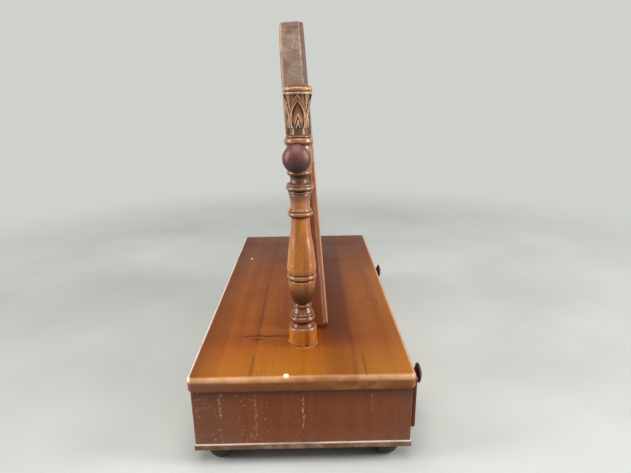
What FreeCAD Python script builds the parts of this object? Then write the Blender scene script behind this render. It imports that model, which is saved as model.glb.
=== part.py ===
import FreeCAD, Part
import math
import os

from FreeCAD import Vector

# Dressing mirror on a drawer box, with a wind-up musical movement behind the drawer.
# Millimetres. +Z is up, the drawer opens towards -Y, and the posts stand along X.

# Box
TOP_LENGTH = 522.0
TOP_DEPTH = 250.0
TOP_THICK = 17.5
TOP_EDGE_ROUND = 6.0
TOP_UNDER_ROUND = 1.5
TOP_CORNER_ROUND = 8.0
END_OVERHANG = 3.0
FRONT_OVERHANG = 3.5
BACK_OVERHANG = 3.5
CASE_HEIGHT = 69.5
PANEL_THICK = 12.0
BACK_THICK = 8.0
BACK_RABBET = 6.0
BASE_THICK = 8.0
BASE_LIP = 1.2
BASE_EDGE_ROUND = 1.5
STILE_WIDTH = 17.0
FACE_FRAME_THICK = 12.0
TOP_RAIL_HEIGHT = 6.0
PARTITION_THICK = 6.0
MOVEMENT_BAY_DEPTH = 50.0

# Feet
FOOT_HEIGHT = 21.0
FOOT_DIAMETER = 32.0
FOOT_NECK_DIAMETER = 23.0
FOOT_SOLE_DIAMETER = 17.0
FOOT_SWELL_HEIGHT = 9.5
FOOT_COLLAR_HEIGHT = 18.0
FOOT_FULLNESS = 0.8
FOOT_SPIGOT_DIAMETER = 10.0
FOOT_SPIGOT_LENGTH = 5.0
FOOT_INSET_X = 23.0
FOOT_INSET_Y = 24.5

# Drawer
DRAWER_LIP = 10.0
DRAWER_LIP_THICK = 9.4
DRAWER_LIP_ROUND = 2.5
DRAWER_LIP_LIFT = 2.5
DRAWER_LIP_GAP = 0.4
DRAWER_INSET_THICK = 10.0
DRAWER_SIDE_GAP = 1.0
DRAWER_RUN_GAP = 0.3
DRAWER_TOP_GAP = 3.0
DRAWER_BACK_GAP = 4.0
DRAWER_WALL = 9.0
DRAWER_BOTTOM_THICK = 4.0
DRAWER_GROOVE_DEPTH = 4.0
DRAWER_GROOVE_HEIGHT = 5.0
RUNNER_THICK = 5.5
RUNNER_SHELF = 16.0
RUNNER_GUIDE_HEIGHT = 12.0
KNOB_INSET = 60.5
KNOB_DIAMETER = 25.0
KNOB_LENGTH = 19.2
KNOB_NECK_DIAMETER = 11.0
KNOB_FOOT_DIAMETER = 17.0
KNOB_FOOT_THICK = 1.5
KNOB_UNDER_DIAMETER = 21.5
KNOB_RIM_START = 13.2
KNOB_FACE_DIAMETER = 23.0
KNOB_RIM_END = 16.4
KNOB_SCREW_DIAMETER = 4.0
KNOB_SCREW_BITE = 9.0
SCREW_HEAD_DIAMETER = 7.0
SCREW_HEAD_HEIGHT = 2.0
BACK_SCREW_DIAMETER = 3.0
BACK_SCREW_BITE = 10.0
BACK_SCREW_INSET = 14.0

# Posts: height above the top board, radius, and the radius half way up a round stretch
POST_INSET = 78.0
POST_Y = -1.0
POST_TENON_DIAMETER = 18.0
PIVOT_HEIGHT = 226.0
PIVOT_SETBACK = 2.0
PIVOT_BLOCK_RADIUS = 14.6
POST_BASE_RADIUS = 17.0
POST_OUTLINE = [
    (0.0, 16.4),
    (1.2, POST_BASE_RADIUS),
    (20.0, POST_BASE_RADIUS),
    (23.8, 13.8, 16.4),
    (25.0, 13.0),
    (29.4, 13.0, 11.9),
    (36.6, 13.4, 15.3),
    (37.6, 12.4),
    (38.4, 13.4),
    (40.4, 13.0, 13.7),
    (41.2, 11.8),
    (42.0, 12.2),
    (46.2, 10.0, 10.8),
    (47.2, 9.6),
    (48.0, 10.4),
    (51.8, 10.4, 11.9),
    (52.6, 10.0),
    (81.6, 16.2, 14.6),
    (83.0, 15.0),
    (84.4, 16.4),
    (88.8, 16.5, 17.1),
    (90.2, 15.1),
    (91.6, 16.5),
    (104.0, 16.3, 17.1),
    (134.0, 12.4, 14.8),
    (157.2, 10.6, 11.1),
    (159.0, 11.8),
    (164.4, 12.8, 14.4),
    (164.8, 12.3),
    (167.6, 11.8, 12.9),
    (168.4, 11.2),
    (184.0, 12.6, 11.2),
    (184.9, 12.1),
    (185.6, 12.9),
    (187.6, 13.0, 13.5),
    (188.6, 12.4),
    (189.4, 13.6),
    (193.4, 14.4, 15.8),
    (194.0, 14.0),
    (196.2, 13.4, 14.5),
    (196.8, 11.8),
    (205.6, 12.4, 10.0),
    (206.4, 13.2),
    (210.0, 13.4, 14.0),
    (237.8, 13.4, PIVOT_BLOCK_RADIUS),
    (238.4, 14.2),
    (246.0, 14.2, 16.0),
    (246.4, 13.4),
    (248.8, 12.2, 13.9),
    (249.4, 9.6),
    (256.6, 8.8, 8.8),
]
CAPITAL_OUTLINE = [
    (256.6, 10.5),
    (274.0, 11.4, 10.6),
    (290.4, 13.4, 12.2),
]
LEAF_OUTLINE = [
    (256.6, 11.4),
    (274.0, 13.0, 11.9),
    (290.4, 15.2, 14.0),
]
LEAF_HOLLOW_OUTLINE = [
    (256.6, 10.2),
    (290.4, 10.9),
]
LEAF_BETWEEN_OUTLINE = [
    (256.6, 11.1),
    (274.0, 12.2, 11.4),
    (290.4, 14.3, 13.1),
]
CAP_OUTLINE = [
    (290.4, 15.2),
    (292.8, 15.2, 15.7),
    (293.4, 14.6),
    (298.0, 14.4, 15.9),
    (301.4, 0.0),
]
LEAF_COUNT = 4
LEAF_RIM = 2.1
LEAF_TIP_RIM = 6.9
LEAF_FOOT_WIDTH = 15.2
LEAF_WIDTH = 17.6
LEAF_WIDEST_SHARE = 0.48
LEAF_TIP_HEIGHT = 290.6
LEAF_BETWEEN_WIDTH = 4.4
LEAF_BETWEEN_DROP = 16.0

# The dart folded inside each leaf: its foot's place, its ridge, and the notches cut in its foot by half width
DART_WIDTH = 12.0
DART_HEIGHT = 19.7
DART_ROOT = 8.5
DART_TIP = 10.3
DART_RIDGE = 12.0
DART_NOTCHES = [(4.2, 2.7), (1.5, 0.0)]
DART_NOTCH_SLOPE = 3.3
DART_NOTCH_FLOOR = 9.1

# Mirror
MIRROR_FOOT_CLEAR = 4.5
MIRROR_TILT = 4.0
MIRROR_CORNER_ROUND = 3.0
FRAME_WIDTH = 30.0
FRAME_DEPTH = 24.5
FRAME_FRONT_Y = -13.0
FRAME_BACK_ROUND = 1.5
FRAME_REBATE_WIDTH = 7.0
FRAME_LIP_THICK = 7.0
ARCH_LEG = 40.0
BEAD_THICK = 5.5
BEAD_SETBACK = 1.5
BEAD_ROUND = 2.2
BEAD_WIDTH = 24.0
GLASS_THICK = 3.0
GLASS_GAP = 0.5
BACK_BOARD_THICK = 5.0
PIN_DIAMETER = 1.6
PIN_LENGTH = 12.0
PIN_SHOW = 7.0
PIN_ROW_HEIGHT = 90.0

# Mirror pivots
BOLT_DIAMETER = 6.0
BOLT_BITE = 14.0
BUSH_DIAMETER = 9.0
BUSH_SETBACK = 1.6
RUNNING_GAP = 0.05
FACE_GAP = 0.4
SPACER_DIAMETER = 14.0
SPACER_LENGTH = 11.0
PIVOT_KNOB_DIAMETER = 30.4
PIVOT_KNOB_LENGTH = 20.0
PIVOT_KNOB_NECK_DIAMETER = 15.0
PIVOT_KNOB_WAIST_DIAMETER = 13.4
PIVOT_KNOB_NECK_LENGTH = 5.0
PIVOT_KNOB_UNDER_DIAMETER = 25.0
PIVOT_KNOB_EDGE_DIAMETER = 29.5
PIVOT_KNOB_RIM_START = 8.0
PIVOT_KNOB_RIM_END = 10.4
PIVOT_KNOB_BORE = 11.0

# Musical movement
ARBOR_HEIGHT = 25.0
BARREL_X = -16.0
BEDPLATE_THICK = 3.0
BEDPLATE_MARGIN = 5.0
PLATE_THICK = 2.0
PLATE_GAP = 30.0
PLATE_HEIGHT = 50.0
PLATE_FRONT_CLEAR = 6.0
PLATE_MARGIN = 4.0
PILLAR_DIAMETER = 4.0
WINDING_ARBOR_DIAMETER = 5.0
ARBOR_DIAMETER = 2.5
FAN_ARBOR_DIAMETER = 1.8
BARREL_DIAMETER = 26.0
BARREL_WALL = 1.2
BARREL_LENGTH = 16.0
BARREL_WHEEL_TEETH = 36
BARREL_MODULE = 0.8
WHEEL_WIDTH = 3.0
BARREL_START = 1.0
PINION_OVERHANG = 0.2
CYLINDER_PINION_TEETH = 20
CYLINDER_DIAMETER = 14.0
CYLINDER_LENGTH = 19.0
CYLINDER_START = 5.2
PIN_HEIGHT = 0.7
MUSIC_PIN_DIAMETER = 0.6
PIN_TURN_STEPS = 7
CYLINDER_WHEEL_TEETH = 40
CYLINDER_MODULE = 0.5
THIN_WHEEL_WIDTH = 1.6
CYLINDER_WHEEL_START = 25.0
SECOND_PINION_TEETH = 8
SECOND_WHEEL_TEETH = 30
SECOND_MODULE = 0.4
SECOND_WHEEL_START = 27.8
SECOND_DIRECTION = 60.0
FAN_PINION_TEETH = 8
FAN_RADIUS = 5.6
FAN_LENGTH = 9.0
FAN_START = 12.0
FAN_VANE_THICK = 0.8
FAN_HUB_DIAMETER = 4.0
BRAKE_DISC_DIAMETER = 9.0
BRAKE_DISC_THICK = 1.2
TOOTH_SHARE = 0.78
TOOTH_ADDENDUM = 0.8
TOOTH_DEDENDUM = 1.15
PRESSURE_ANGLE = math.radians(20.0)
COMB_TEETH = 18
COMB_THICK = 1.4
COMB_TOOTH_LENGTH = 14.0
COMB_ROOT = 9.0
COMB_SLIT = 0.35
COMB_GAP = 0.3
COMB_SCREW_DIAMETER = 2.4
COMB_SCREW_SPACING = 12.0
COMB_SCREW_BITE = 5.0
SPRING_TURNS = 5
SPRING_THICK = 0.6
SPRING_INNER_RADIUS = 4.0
STOP_ROD_DIAMETER = 2.0
STOP_HEAD_DIAMETER = 4.0
STOP_HEAD_LENGTH = 2.0
STOP_HOLE_DIAMETER = 5.0
STOP_GAP = 0.4
KEY_GAP = 1.5
KEY_HUB_DIAMETER = 8.0
KEY_HUB_LENGTH = 7.0
KEY_SOCKET_DEPTH = 6.0
KEY_WING_SPAN = 26.0
KEY_WING_LENGTH = 10.2
KEY_WING_THICK = 2.4
KEY_WING_BITE = 1.0
KEY_HOLE_DIAMETER = 4.5

# Heights
BASE_Z = FOOT_HEIGHT
PANEL_Z = BASE_Z + BASE_THICK
TOP_Z = PANEL_Z + CASE_HEIGHT
DECK_Z = TOP_Z + TOP_THICK
PIVOT_Z = DECK_Z + PIVOT_HEIGHT

# Case outside and inside
CASE_X = TOP_LENGTH / 2 - END_OVERHANG
CASE_FRONT = -(TOP_DEPTH / 2 - FRONT_OVERHANG)
CASE_BACK = TOP_DEPTH / 2 - BACK_OVERHANG
INSIDE_X = CASE_X - PANEL_THICK
INSIDE_BACK = CASE_BACK - BACK_THICK
FRAME_BACK = CASE_FRONT + FACE_FRAME_THICK
OPENING_X = INSIDE_X - STILE_WIDTH
OPENING_TOP = TOP_Z - TOP_RAIL_HEIGHT
RUNNER_TOP = PANEL_Z + RUNNER_THICK
PARTITION_BACK = INSIDE_BACK - MOVEMENT_BAY_DEPTH
PARTITION_FRONT = PARTITION_BACK - PARTITION_THICK

# Drawer
LIP_BACK = CASE_FRONT - DRAWER_LIP_GAP
LIP_FRONT = LIP_BACK - DRAWER_LIP_THICK
LIP_X = OPENING_X + DRAWER_LIP
LIP_LOW = PANEL_Z + DRAWER_LIP_LIFT
LIP_HIGH = TOP_Z - DRAWER_SIDE_GAP
INSET_BACK = LIP_BACK + DRAWER_INSET_THICK
DRAWER_X = OPENING_X - DRAWER_SIDE_GAP
DRAWER_LOW = RUNNER_TOP + DRAWER_RUN_GAP
DRAWER_HIGH = OPENING_TOP - DRAWER_TOP_GAP
DRAWER_END = PARTITION_FRONT - DRAWER_BACK_GAP
KNOB_X = LIP_X - KNOB_INSET
KNOB_Z = (LIP_LOW + LIP_HIGH) / 2

# Posts and mirror
POST_X = TOP_LENGTH / 2 - POST_INSET
PIVOT_Y = POST_Y + PIVOT_SETBACK
MIRROR_HALF_WIDTH = POST_X - PIVOT_BLOCK_RADIUS - FACE_GAP - SPACER_LENGTH
MIRROR_BOTTOM_DROP = PIVOT_HEIGHT - MIRROR_FOOT_CLEAR

# Movement axes, in the plane of X and Z, and the distances along Y
AXIS_Z = PANEL_Z + ARBOR_HEIGHT
PLATE_FRONT = PARTITION_BACK + PLATE_FRONT_CLEAR
GAP_FRONT = PLATE_FRONT + PLATE_THICK
GAP_BACK = GAP_FRONT + PLATE_GAP
PLATE_BACK = GAP_BACK + PLATE_THICK
PLATE_LOW = PANEL_Z + BEDPLATE_THICK
PLATE_TOP = PLATE_LOW + PLATE_HEIGHT
CYLINDER_X = BARREL_X + BARREL_MODULE * (BARREL_WHEEL_TEETH + CYLINDER_PINION_TEETH) / 2
SECOND_REACH = CYLINDER_MODULE * (CYLINDER_WHEEL_TEETH + SECOND_PINION_TEETH) / 2
SECOND_X = CYLINDER_X + SECOND_REACH * math.cos(math.radians(SECOND_DIRECTION))
SECOND_Z = AXIS_Z + SECOND_REACH * math.sin(math.radians(SECOND_DIRECTION))
FAN_REACH = SECOND_MODULE * (SECOND_WHEEL_TEETH + FAN_PINION_TEETH) / 2
FAN_X = SECOND_X + FAN_REACH * math.cos(math.radians(SECOND_DIRECTION))
FAN_Z = SECOND_Z + FAN_REACH * math.sin(math.radians(SECOND_DIRECTION))
BARREL_TIP_RADIUS = BARREL_MODULE * (BARREL_WHEEL_TEETH / 2 + TOOTH_ADDENDUM)
PLATE_LEFT = BARREL_X - BARREL_TIP_RADIUS - PLATE_MARGIN
PLATE_RIGHT = FAN_X + FAN_RADIUS + PLATE_MARGIN
COMB_TIP_X = CYLINDER_X + CYLINDER_DIAMETER / 2 + PIN_HEIGHT + COMB_GAP
COMB_ROOT_X = COMB_TIP_X + COMB_TOOTH_LENGTH
COMB_BACK_X = COMB_ROOT_X + COMB_ROOT
COMB_FRONT_Y = GAP_FRONT + CYLINDER_START
STOP_X = FAN_X + BRAKE_DISC_DIAMETER / 4
STOP_FACE = GAP_FRONT + FAN_START - BRAKE_DISC_THICK
KEY_FRONT = CASE_BACK + KEY_GAP

# The model is moved along Y so that its origin is under the middle of its outer box
FRONT_REACH = KNOB_LENGTH - LIP_FRONT
BACK_REACH = KEY_FRONT + KEY_HUB_LENGTH + KEY_WING_LENGTH
SHIFT_Y = (FRONT_REACH - BACK_REACH) / 2

# Edges nearer than this to a plane lie in it
SAME_PLACE = 0.01

SIDES = {"left": -1, "right": 1}
ENDS = {"front": -1, "back": 1}


def save(node, *solids):
    """Write one named piece, as one solid or as a group of separate ones."""
    shape = solids[0] if len(solids) == 1 else Part.makeCompound(list(solids))
    shape.translate(Vector(0, SHIFT_Y, 0))
    shape.exportStep("parts/" + node + ".step")


def block(x0, x1, y0, y1, z0, z1):
    """A block between two places along each axis."""
    low = Vector(min(x0, x1), min(y0, y1), min(z0, z1))
    return Part.makeBox(abs(x1 - x0), abs(y1 - y0), abs(z1 - z0), low)


def rod(x, y, z, direction, length, diameter):
    """A round bar that starts at a point and runs along a direction."""
    return Part.makeCylinder(diameter / 2, length, Vector(x, y, z), Vector(*direction))


def prism(points, sweep):
    """A flat outline of straight sides, swept along a vector."""
    corners = [Vector(*point) for point in points]
    face = Part.Face(Part.makePolygon(corners + corners[:1]))
    return face.extrude(Vector(*sweep))


def edges_in_plane(shape, axis, place):
    """The edges that lie in one plane across an axis."""
    found = []
    for edge in shape.Edges:
        low = getattr(edge.BoundBox, axis + "Min")
        high = getattr(edge.BoundBox, axis + "Max")
        if abs(low - place) < SAME_PLACE and abs(high - place) < SAME_PLACE:
            found.append(edge)
    return found


def dome_middle(rim, crown):
    """The point half way up a dome that is part of a sphere, from its rim to its crown on the axis."""
    rise = crown.z - rim.z
    sphere_radius = (rim.x ** 2 + rise ** 2) / (2 * rise)
    radius = math.sqrt(sphere_radius ** 2 - (sphere_radius - rise / 2) ** 2)
    return Vector(radius, 0, (rim.z + crown.z) / 2)


def turned(outline):
    """A lathe-turned solid about Z.

    A row is a height, a radius and, on a round stretch, the radius half way.
    A last radius of zero is a dome.
    """
    start_height, start_radius = outline[0][:2]
    end_height, end_radius = outline[-1][:2]
    edges = [Part.LineSegment(Vector(0, 0, start_height), Vector(start_radius, 0, start_height))]
    for row, following in zip(outline, outline[1:]):
        start = Vector(row[1], 0, row[0])
        end = Vector(following[1], 0, following[0])
        if following[1] == 0:
            edges.append(Part.Arc(start, dome_middle(start, end), end))
        elif len(following) == 3:
            middle = Vector(following[2], 0, (row[0] + following[0]) / 2)
            edges.append(Part.Arc(start, middle, end))
        else:
            edges.append(Part.LineSegment(start, end))
    if end_radius > 0:
        edges.append(Part.LineSegment(Vector(end_radius, 0, end_height), Vector(0, 0, end_height)))
    edges.append(Part.LineSegment(Vector(0, 0, end_height), Vector(0, 0, start_height)))
    wire = Part.Wire([edge.toShape() for edge in edges])
    return Part.Face(wire).revolve(Vector(0, 0, 0), Vector(0, 0, 1), 360)


def aimed(shape, x, y, z, direction):
    """A shape made about Z, turned to point along a direction and moved to a place."""
    turn = FreeCAD.Rotation(Vector(0, 0, 1), Vector(*direction))
    shape.Placement = FreeCAD.Placement(Vector(x, y, z), turn)
    return shape


def round_head_screw(x, y, z, direction, diameter, bite):
    """A screw whose head sits on a face and whose shank runs the other way."""
    radius = diameter / 2
    head = SCREW_HEAD_DIAMETER / 2
    outline = [(-bite, radius), (0, radius), (0, head), (SCREW_HEAD_HEIGHT, 0)]
    return aimed(turned(outline), x, y, z, direction)


# Box

def make_top_board():
    """The top, with a soft round-over along its upper edge and a hole for each post's tenon."""
    board = block(-TOP_LENGTH / 2, TOP_LENGTH / 2, -TOP_DEPTH / 2, TOP_DEPTH / 2, TOP_Z, DECK_Z)
    corners = [edge for edge in board.Edges if edge.BoundBox.ZLength > TOP_THICK / 2]
    board = board.makeFillet(TOP_CORNER_ROUND, corners)
    board = board.makeFillet(TOP_EDGE_ROUND, edges_in_plane(board, "Z", DECK_Z))
    board = board.makeFillet(TOP_UNDER_ROUND, edges_in_plane(board, "Z", TOP_Z))
    for side in SIDES.values():
        board = board.cut(rod(side * POST_X, POST_Y, TOP_Z, (0, 0, 1), TOP_THICK, POST_TENON_DIAMETER))
    return board


def foot_places():
    """Each foot's name and the middle of its top."""
    for end, back in ENDS.items():
        edge = CASE_FRONT + FOOT_INSET_Y if back < 0 else CASE_BACK - FOOT_INSET_Y
        for name, side in SIDES.items():
            yield end + "_" + name + "_foot", side * (CASE_X - FOOT_INSET_X), edge


def make_foot(x, y):
    """A turned bun foot with a spigot that is glued into the base board."""
    sole = FOOT_SOLE_DIAMETER / 2
    widest = FOOT_DIAMETER / 2
    neck = FOOT_NECK_DIAMETER / 2
    spigot = FOOT_SPIGOT_DIAMETER / 2
    outline = [
        (0, sole),
        (FOOT_SWELL_HEIGHT, widest, sole + FOOT_FULLNESS * (widest - sole)),
        (FOOT_COLLAR_HEIGHT, neck, neck + FOOT_FULLNESS * (widest - neck)),
        (FOOT_HEIGHT, neck),
        (FOOT_HEIGHT, spigot),
        (FOOT_HEIGHT + FOOT_SPIGOT_LENGTH, spigot),
    ]
    foot = turned(outline)
    foot.translate(Vector(x, y, 0))
    return foot


def make_base_board():
    """The base board, a little proud of the panels, with blind holes for the feet."""
    x = CASE_X + BASE_LIP
    board = block(-x, x, CASE_FRONT - BASE_LIP, CASE_BACK + BASE_LIP, BASE_Z, PANEL_Z)
    board = board.makeFillet(BASE_EDGE_ROUND, edges_in_plane(board, "Z", BASE_Z))
    for _, foot_x, foot_y in foot_places():
        board = board.cut(rod(foot_x, foot_y, BASE_Z, (0, 0, 1), FOOT_SPIGOT_LENGTH, FOOT_SPIGOT_DIAMETER))
    return board


def back_screw_places():
    """Where the screws of the back panel stand."""
    for side in SIDES.values():
        for z in (PANEL_Z + BACK_SCREW_INSET, TOP_Z - BACK_SCREW_INSET):
            yield side * (CASE_X + INSIDE_X - BACK_RABBET) / 2, z


def make_back_screws():
    """Round-headed screws that hold the back panel to the end panels."""
    bite = BACK_THICK + BACK_SCREW_BITE
    return [round_head_screw(x, CASE_BACK, z, (0, 1, 0), BACK_SCREW_DIAMETER, bite)
            for x, z in back_screw_places()]


def make_end_panel(side, screws):
    """An end panel, with a rabbet at the back that takes the back panel."""
    panel = block(side * INSIDE_X, side * CASE_X, CASE_FRONT, CASE_BACK, PANEL_Z, TOP_Z)
    rabbet = block(side * INSIDE_X, side * (CASE_X - BACK_RABBET), INSIDE_BACK, CASE_BACK, PANEL_Z, TOP_Z)
    return panel.cut(rabbet).cut(Part.makeCompound(screws))


def make_back_panel(screws):
    """The back panel, set into the end panels, with a hole for the winding arbor."""
    x = CASE_X - BACK_RABBET
    panel = block(-x, x, INSIDE_BACK, CASE_BACK, PANEL_Z, TOP_Z)
    hole = rod(BARREL_X, INSIDE_BACK, AXIS_Z, (0, 1, 0), BACK_THICK, KEY_HUB_DIAMETER)
    return panel.cut(hole).cut(Part.makeCompound(screws))


def make_partition():
    """The board between the drawer and the movement, with a hole for the stop rod."""
    board = block(-INSIDE_X, INSIDE_X, PARTITION_FRONT, PARTITION_BACK, PANEL_Z, TOP_Z)
    hole = rod(STOP_X, PARTITION_FRONT, FAN_Z, (0, 1, 0), PARTITION_THICK, STOP_HOLE_DIAMETER)
    return board.cut(hole)


def make_runner(side):
    """A drawer runner: a shelf under the drawer's side and a guide beside it."""
    section = [
        (side * (DRAWER_X - RUNNER_SHELF), FRAME_BACK, PANEL_Z),
        (side * INSIDE_X, FRAME_BACK, PANEL_Z),
        (side * INSIDE_X, FRAME_BACK, RUNNER_TOP + RUNNER_GUIDE_HEIGHT),
        (side * OPENING_X, FRAME_BACK, RUNNER_TOP + RUNNER_GUIDE_HEIGHT),
        (side * OPENING_X, FRAME_BACK, RUNNER_TOP),
        (side * (DRAWER_X - RUNNER_SHELF), FRAME_BACK, RUNNER_TOP),
    ]
    return prism(section, (0, PARTITION_FRONT - FRAME_BACK, 0))


def build_box():
    """The case that everything else is fixed to."""
    screws = make_back_screws()
    save("top_board", make_top_board())
    save("base_board", make_base_board())
    save("back_panel", make_back_panel(screws))
    save("partition", make_partition())
    save("top_rail", block(-OPENING_X, OPENING_X, CASE_FRONT, FRAME_BACK, OPENING_TOP, TOP_Z))
    for name, x, y in foot_places():
        save(name, make_foot(x, y))
    for name, side in SIDES.items():
        save(name + "_end_panel", make_end_panel(side, screws))
        stile = block(side * OPENING_X, side * INSIDE_X, CASE_FRONT, FRAME_BACK, PANEL_Z, TOP_Z)
        save(name + "_stile", stile)
        save(name + "_runner", make_runner(side))
    save("back_panel_screws", *screws)


# Drawer

def drawer_bottom_block():
    """The drawer's bottom, which slides into grooves in the sides and the front."""
    x = DRAWER_X - DRAWER_WALL + DRAWER_GROOVE_DEPTH
    low = DRAWER_LOW + DRAWER_GROOVE_HEIGHT
    return block(-x, x, INSET_BACK - DRAWER_GROOVE_DEPTH, DRAWER_END, low, low + DRAWER_BOTTOM_THICK)


def make_knob_screws():
    """Screws that pass through the drawer front into the knobs."""
    bite = INSET_BACK - LIP_FRONT + KNOB_SCREW_BITE
    return [round_head_screw(side * KNOB_X, INSET_BACK, KNOB_Z, (0, 1, 0), KNOB_SCREW_DIAMETER, bite)
            for side in SIDES.values()]


def make_drawer_front(screws):
    """The lipped front: a proud plate with rounded edges, and a block that fits the opening."""
    lip = block(-LIP_X, LIP_X, LIP_FRONT, LIP_BACK, LIP_LOW, LIP_HIGH)
    lip = lip.makeFillet(DRAWER_LIP_ROUND, edges_in_plane(lip, "Y", LIP_FRONT))
    inset = block(-DRAWER_X, DRAWER_X, LIP_BACK, INSET_BACK, DRAWER_LOW, OPENING_TOP - DRAWER_SIDE_GAP)
    return lip.fuse(inset).cut(drawer_bottom_block()).cut(Part.makeCompound(screws)).removeSplitter()


def make_drawer_knob(side, screws):
    """A turned mushroom knob."""
    foot = KNOB_FOOT_DIAMETER / 2
    neck = KNOB_NECK_DIAMETER / 2
    rim = KNOB_DIAMETER / 2
    outline = [
        (0, foot),
        (KNOB_FOOT_THICK, foot),
        (KNOB_RIM_START, KNOB_UNDER_DIAMETER / 2, neck),
        (KNOB_RIM_END, KNOB_FACE_DIAMETER / 2, rim),
        (KNOB_LENGTH, 0),
    ]
    knob = aimed(turned(outline), side * KNOB_X, LIP_FRONT, KNOB_Z, (0, -1, 0))
    return knob.cut(Part.makeCompound(screws))


def build_drawer():
    """The drawer, carried by the runners."""
    screws = make_knob_screws()
    bottom = drawer_bottom_block()
    inner_x = DRAWER_X - DRAWER_WALL
    save("drawer_front", make_drawer_front(screws))
    for name, side in SIDES.items():
        wall = block(side * inner_x, side * DRAWER_X, INSET_BACK, DRAWER_END, DRAWER_LOW, DRAWER_HIGH)
        save("drawer_" + name + "_side", wall.cut(bottom))
        save("drawer_" + name + "_knob", make_drawer_knob(side, screws))
    back_low = DRAWER_LOW + DRAWER_GROOVE_HEIGHT + DRAWER_BOTTOM_THICK
    back_front = DRAWER_END - DRAWER_WALL
    save("drawer_back", block(-inner_x, inner_x, back_front, DRAWER_END, back_low, DRAWER_HIGH))
    save("drawer_bottom", bottom)
    save("drawer_knob_screws", *screws)


# Posts

def leaf_face(width, foot_width, low, tip):
    """A pointed leaf, as a face across the X axis: two arcs from the foot to the tip."""
    middle = low + (tip - low) * LEAF_WIDEST_SHARE
    left = Part.Arc(Vector(0, -foot_width / 2, low), Vector(0, -width / 2, middle), Vector(0, 0, tip))
    right = Part.Arc(Vector(0, 0, tip), Vector(0, width / 2, middle), Vector(0, foot_width / 2, low))
    foot = Part.LineSegment(Vector(0, foot_width / 2, low), Vector(0, -foot_width / 2, low))
    return Part.Face(Part.Wire([left.toShape(), right.toShape(), foot.toShape()]))


def make_leaf(reach):
    """The blocks that mark out one leaf along X: its rim, and the hollow inside it."""
    low = CAPITAL_OUTLINE[0][0]
    rims = 2 * LEAF_RIM
    outside = leaf_face(LEAF_WIDTH, LEAF_FOOT_WIDTH, low, LEAF_TIP_HEIGHT)
    inside = leaf_face(LEAF_WIDTH - rims, LEAF_FOOT_WIDTH - rims, low, LEAF_TIP_HEIGHT - LEAF_TIP_RIM)
    sweep = Vector(reach, 0, 0)
    return outside.cut(inside).extrude(sweep), inside.extrude(sweep)


def make_leaf_between(reach):
    """The tip of a leaf behind, which shows between two leaves."""
    half = LEAF_BETWEEN_WIDTH / 2
    top = CAPITAL_OUTLINE[-1][0]
    tip = [(0, -half, top), (0, half, top), (0, 0, top - LEAF_BETWEEN_DROP)]
    return prism(tip, (reach, 0, 0))


def make_dart():
    """The dart inside a leaf along X: two facets that rise from the hollow to a ridge."""
    low = CAPITAL_OUTLINE[0][0]
    left = Vector(DART_ROOT, -DART_WIDTH / 2, low)
    right = Vector(DART_ROOT, DART_WIDTH / 2, low)
    ridge = Vector(DART_RIDGE, 0, low)
    tip = Vector(DART_TIP, 0, low + DART_HEIGHT)
    corners = ((left, right, tip), (left, tip, ridge), (right, ridge, tip), (left, ridge, right))
    faces = [Part.Face(Part.makePolygon([a, b, c, a])) for a, b, c in corners]
    return Part.Solid(Part.Shell(faces))


def make_notch(outer, inner, reach):
    """A notch in the foot of a dart along X: a chevron, or a wedge where its inner half width is zero."""
    low = CAPITAL_OUTLINE[0][0]
    corners = [(-outer, 0), (0, outer * DART_NOTCH_SLOPE), (outer, 0)]
    if inner:
        corners += [(inner, 0), (0, inner * DART_NOTCH_SLOPE), (-inner, 0)]
    return prism([(DART_NOTCH_FLOOR, y, low + rise) for y, rise in corners], (reach, 0, 0))


def make_capital():
    """The carved bell under the cap: a ring of leaves with raised rims, and a notched dart in each hollow."""
    ground = turned(CAPITAL_OUTLINE)
    leaf_level = turned(LEAF_OUTLINE)
    between_level = turned(LEAF_BETWEEN_OUTLINE)
    reach = POST_BASE_RADIUS * 2
    turn = 360 / LEAF_COUNT
    hollows = []
    raised = [turned(LEAF_HOLLOW_OUTLINE)]
    notches = []
    for index in range(LEAF_COUNT):
        rim, hollow = make_leaf(reach)
        between = make_leaf_between(reach)
        between.rotate(Vector(0, 0, 0), Vector(0, 0, 1), turn / 2)
        dart = make_dart()
        cuts = [make_notch(outer, inner, reach) for outer, inner in DART_NOTCHES]
        for piece in [rim, hollow, between, dart] + cuts:
            piece.rotate(Vector(0, 0, 0), Vector(0, 0, 1), index * turn)
        hollows.append(hollow)
        raised += [leaf_level.common(rim), between_level.common(between), dart]
        notches += cuts
    return ground.cut(hollows).multiFuse(raised).cut(notches).removeSplitter()


def make_post(side):
    """A turned post with its tenon, its leaf capital and a hole for the pivot bush."""
    shaft = turned(POST_OUTLINE)
    tenon = rod(0, 0, -TOP_THICK, (0, 0, 1), TOP_THICK, POST_TENON_DIAMETER)
    post = shaft.multiFuse([tenon, make_capital(), turned(CAP_OUTLINE)])
    reach = POST_BASE_RADIUS
    post = post.cut(rod(-reach, PIVOT_SETBACK, PIVOT_HEIGHT, (1, 0, 0), 2 * reach, BUSH_DIAMETER))
    post.translate(Vector(side * POST_X, POST_Y, DECK_Z))
    return post


def make_bush(side):
    """A brass bush in the post, in which the mirror's bolt turns."""
    length = 2 * (PIVOT_BLOCK_RADIUS - BUSH_SETBACK)
    start = side * POST_X - length / 2
    bush = rod(start, PIVOT_Y, PIVOT_Z, (1, 0, 0), length, BUSH_DIAMETER)
    return bush.cut(rod(start, PIVOT_Y, PIVOT_Z, (1, 0, 0), length, BOLT_DIAMETER + 2 * RUNNING_GAP))


def build_posts():
    """The two posts that carry the mirror."""
    for name, side in SIDES.items():
        save(name + "_post", make_post(side))
    save("post_bushes", *[make_bush(side) for side in SIDES.values()])


# Mirror, made upright about its pivot line and then tilted

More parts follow.
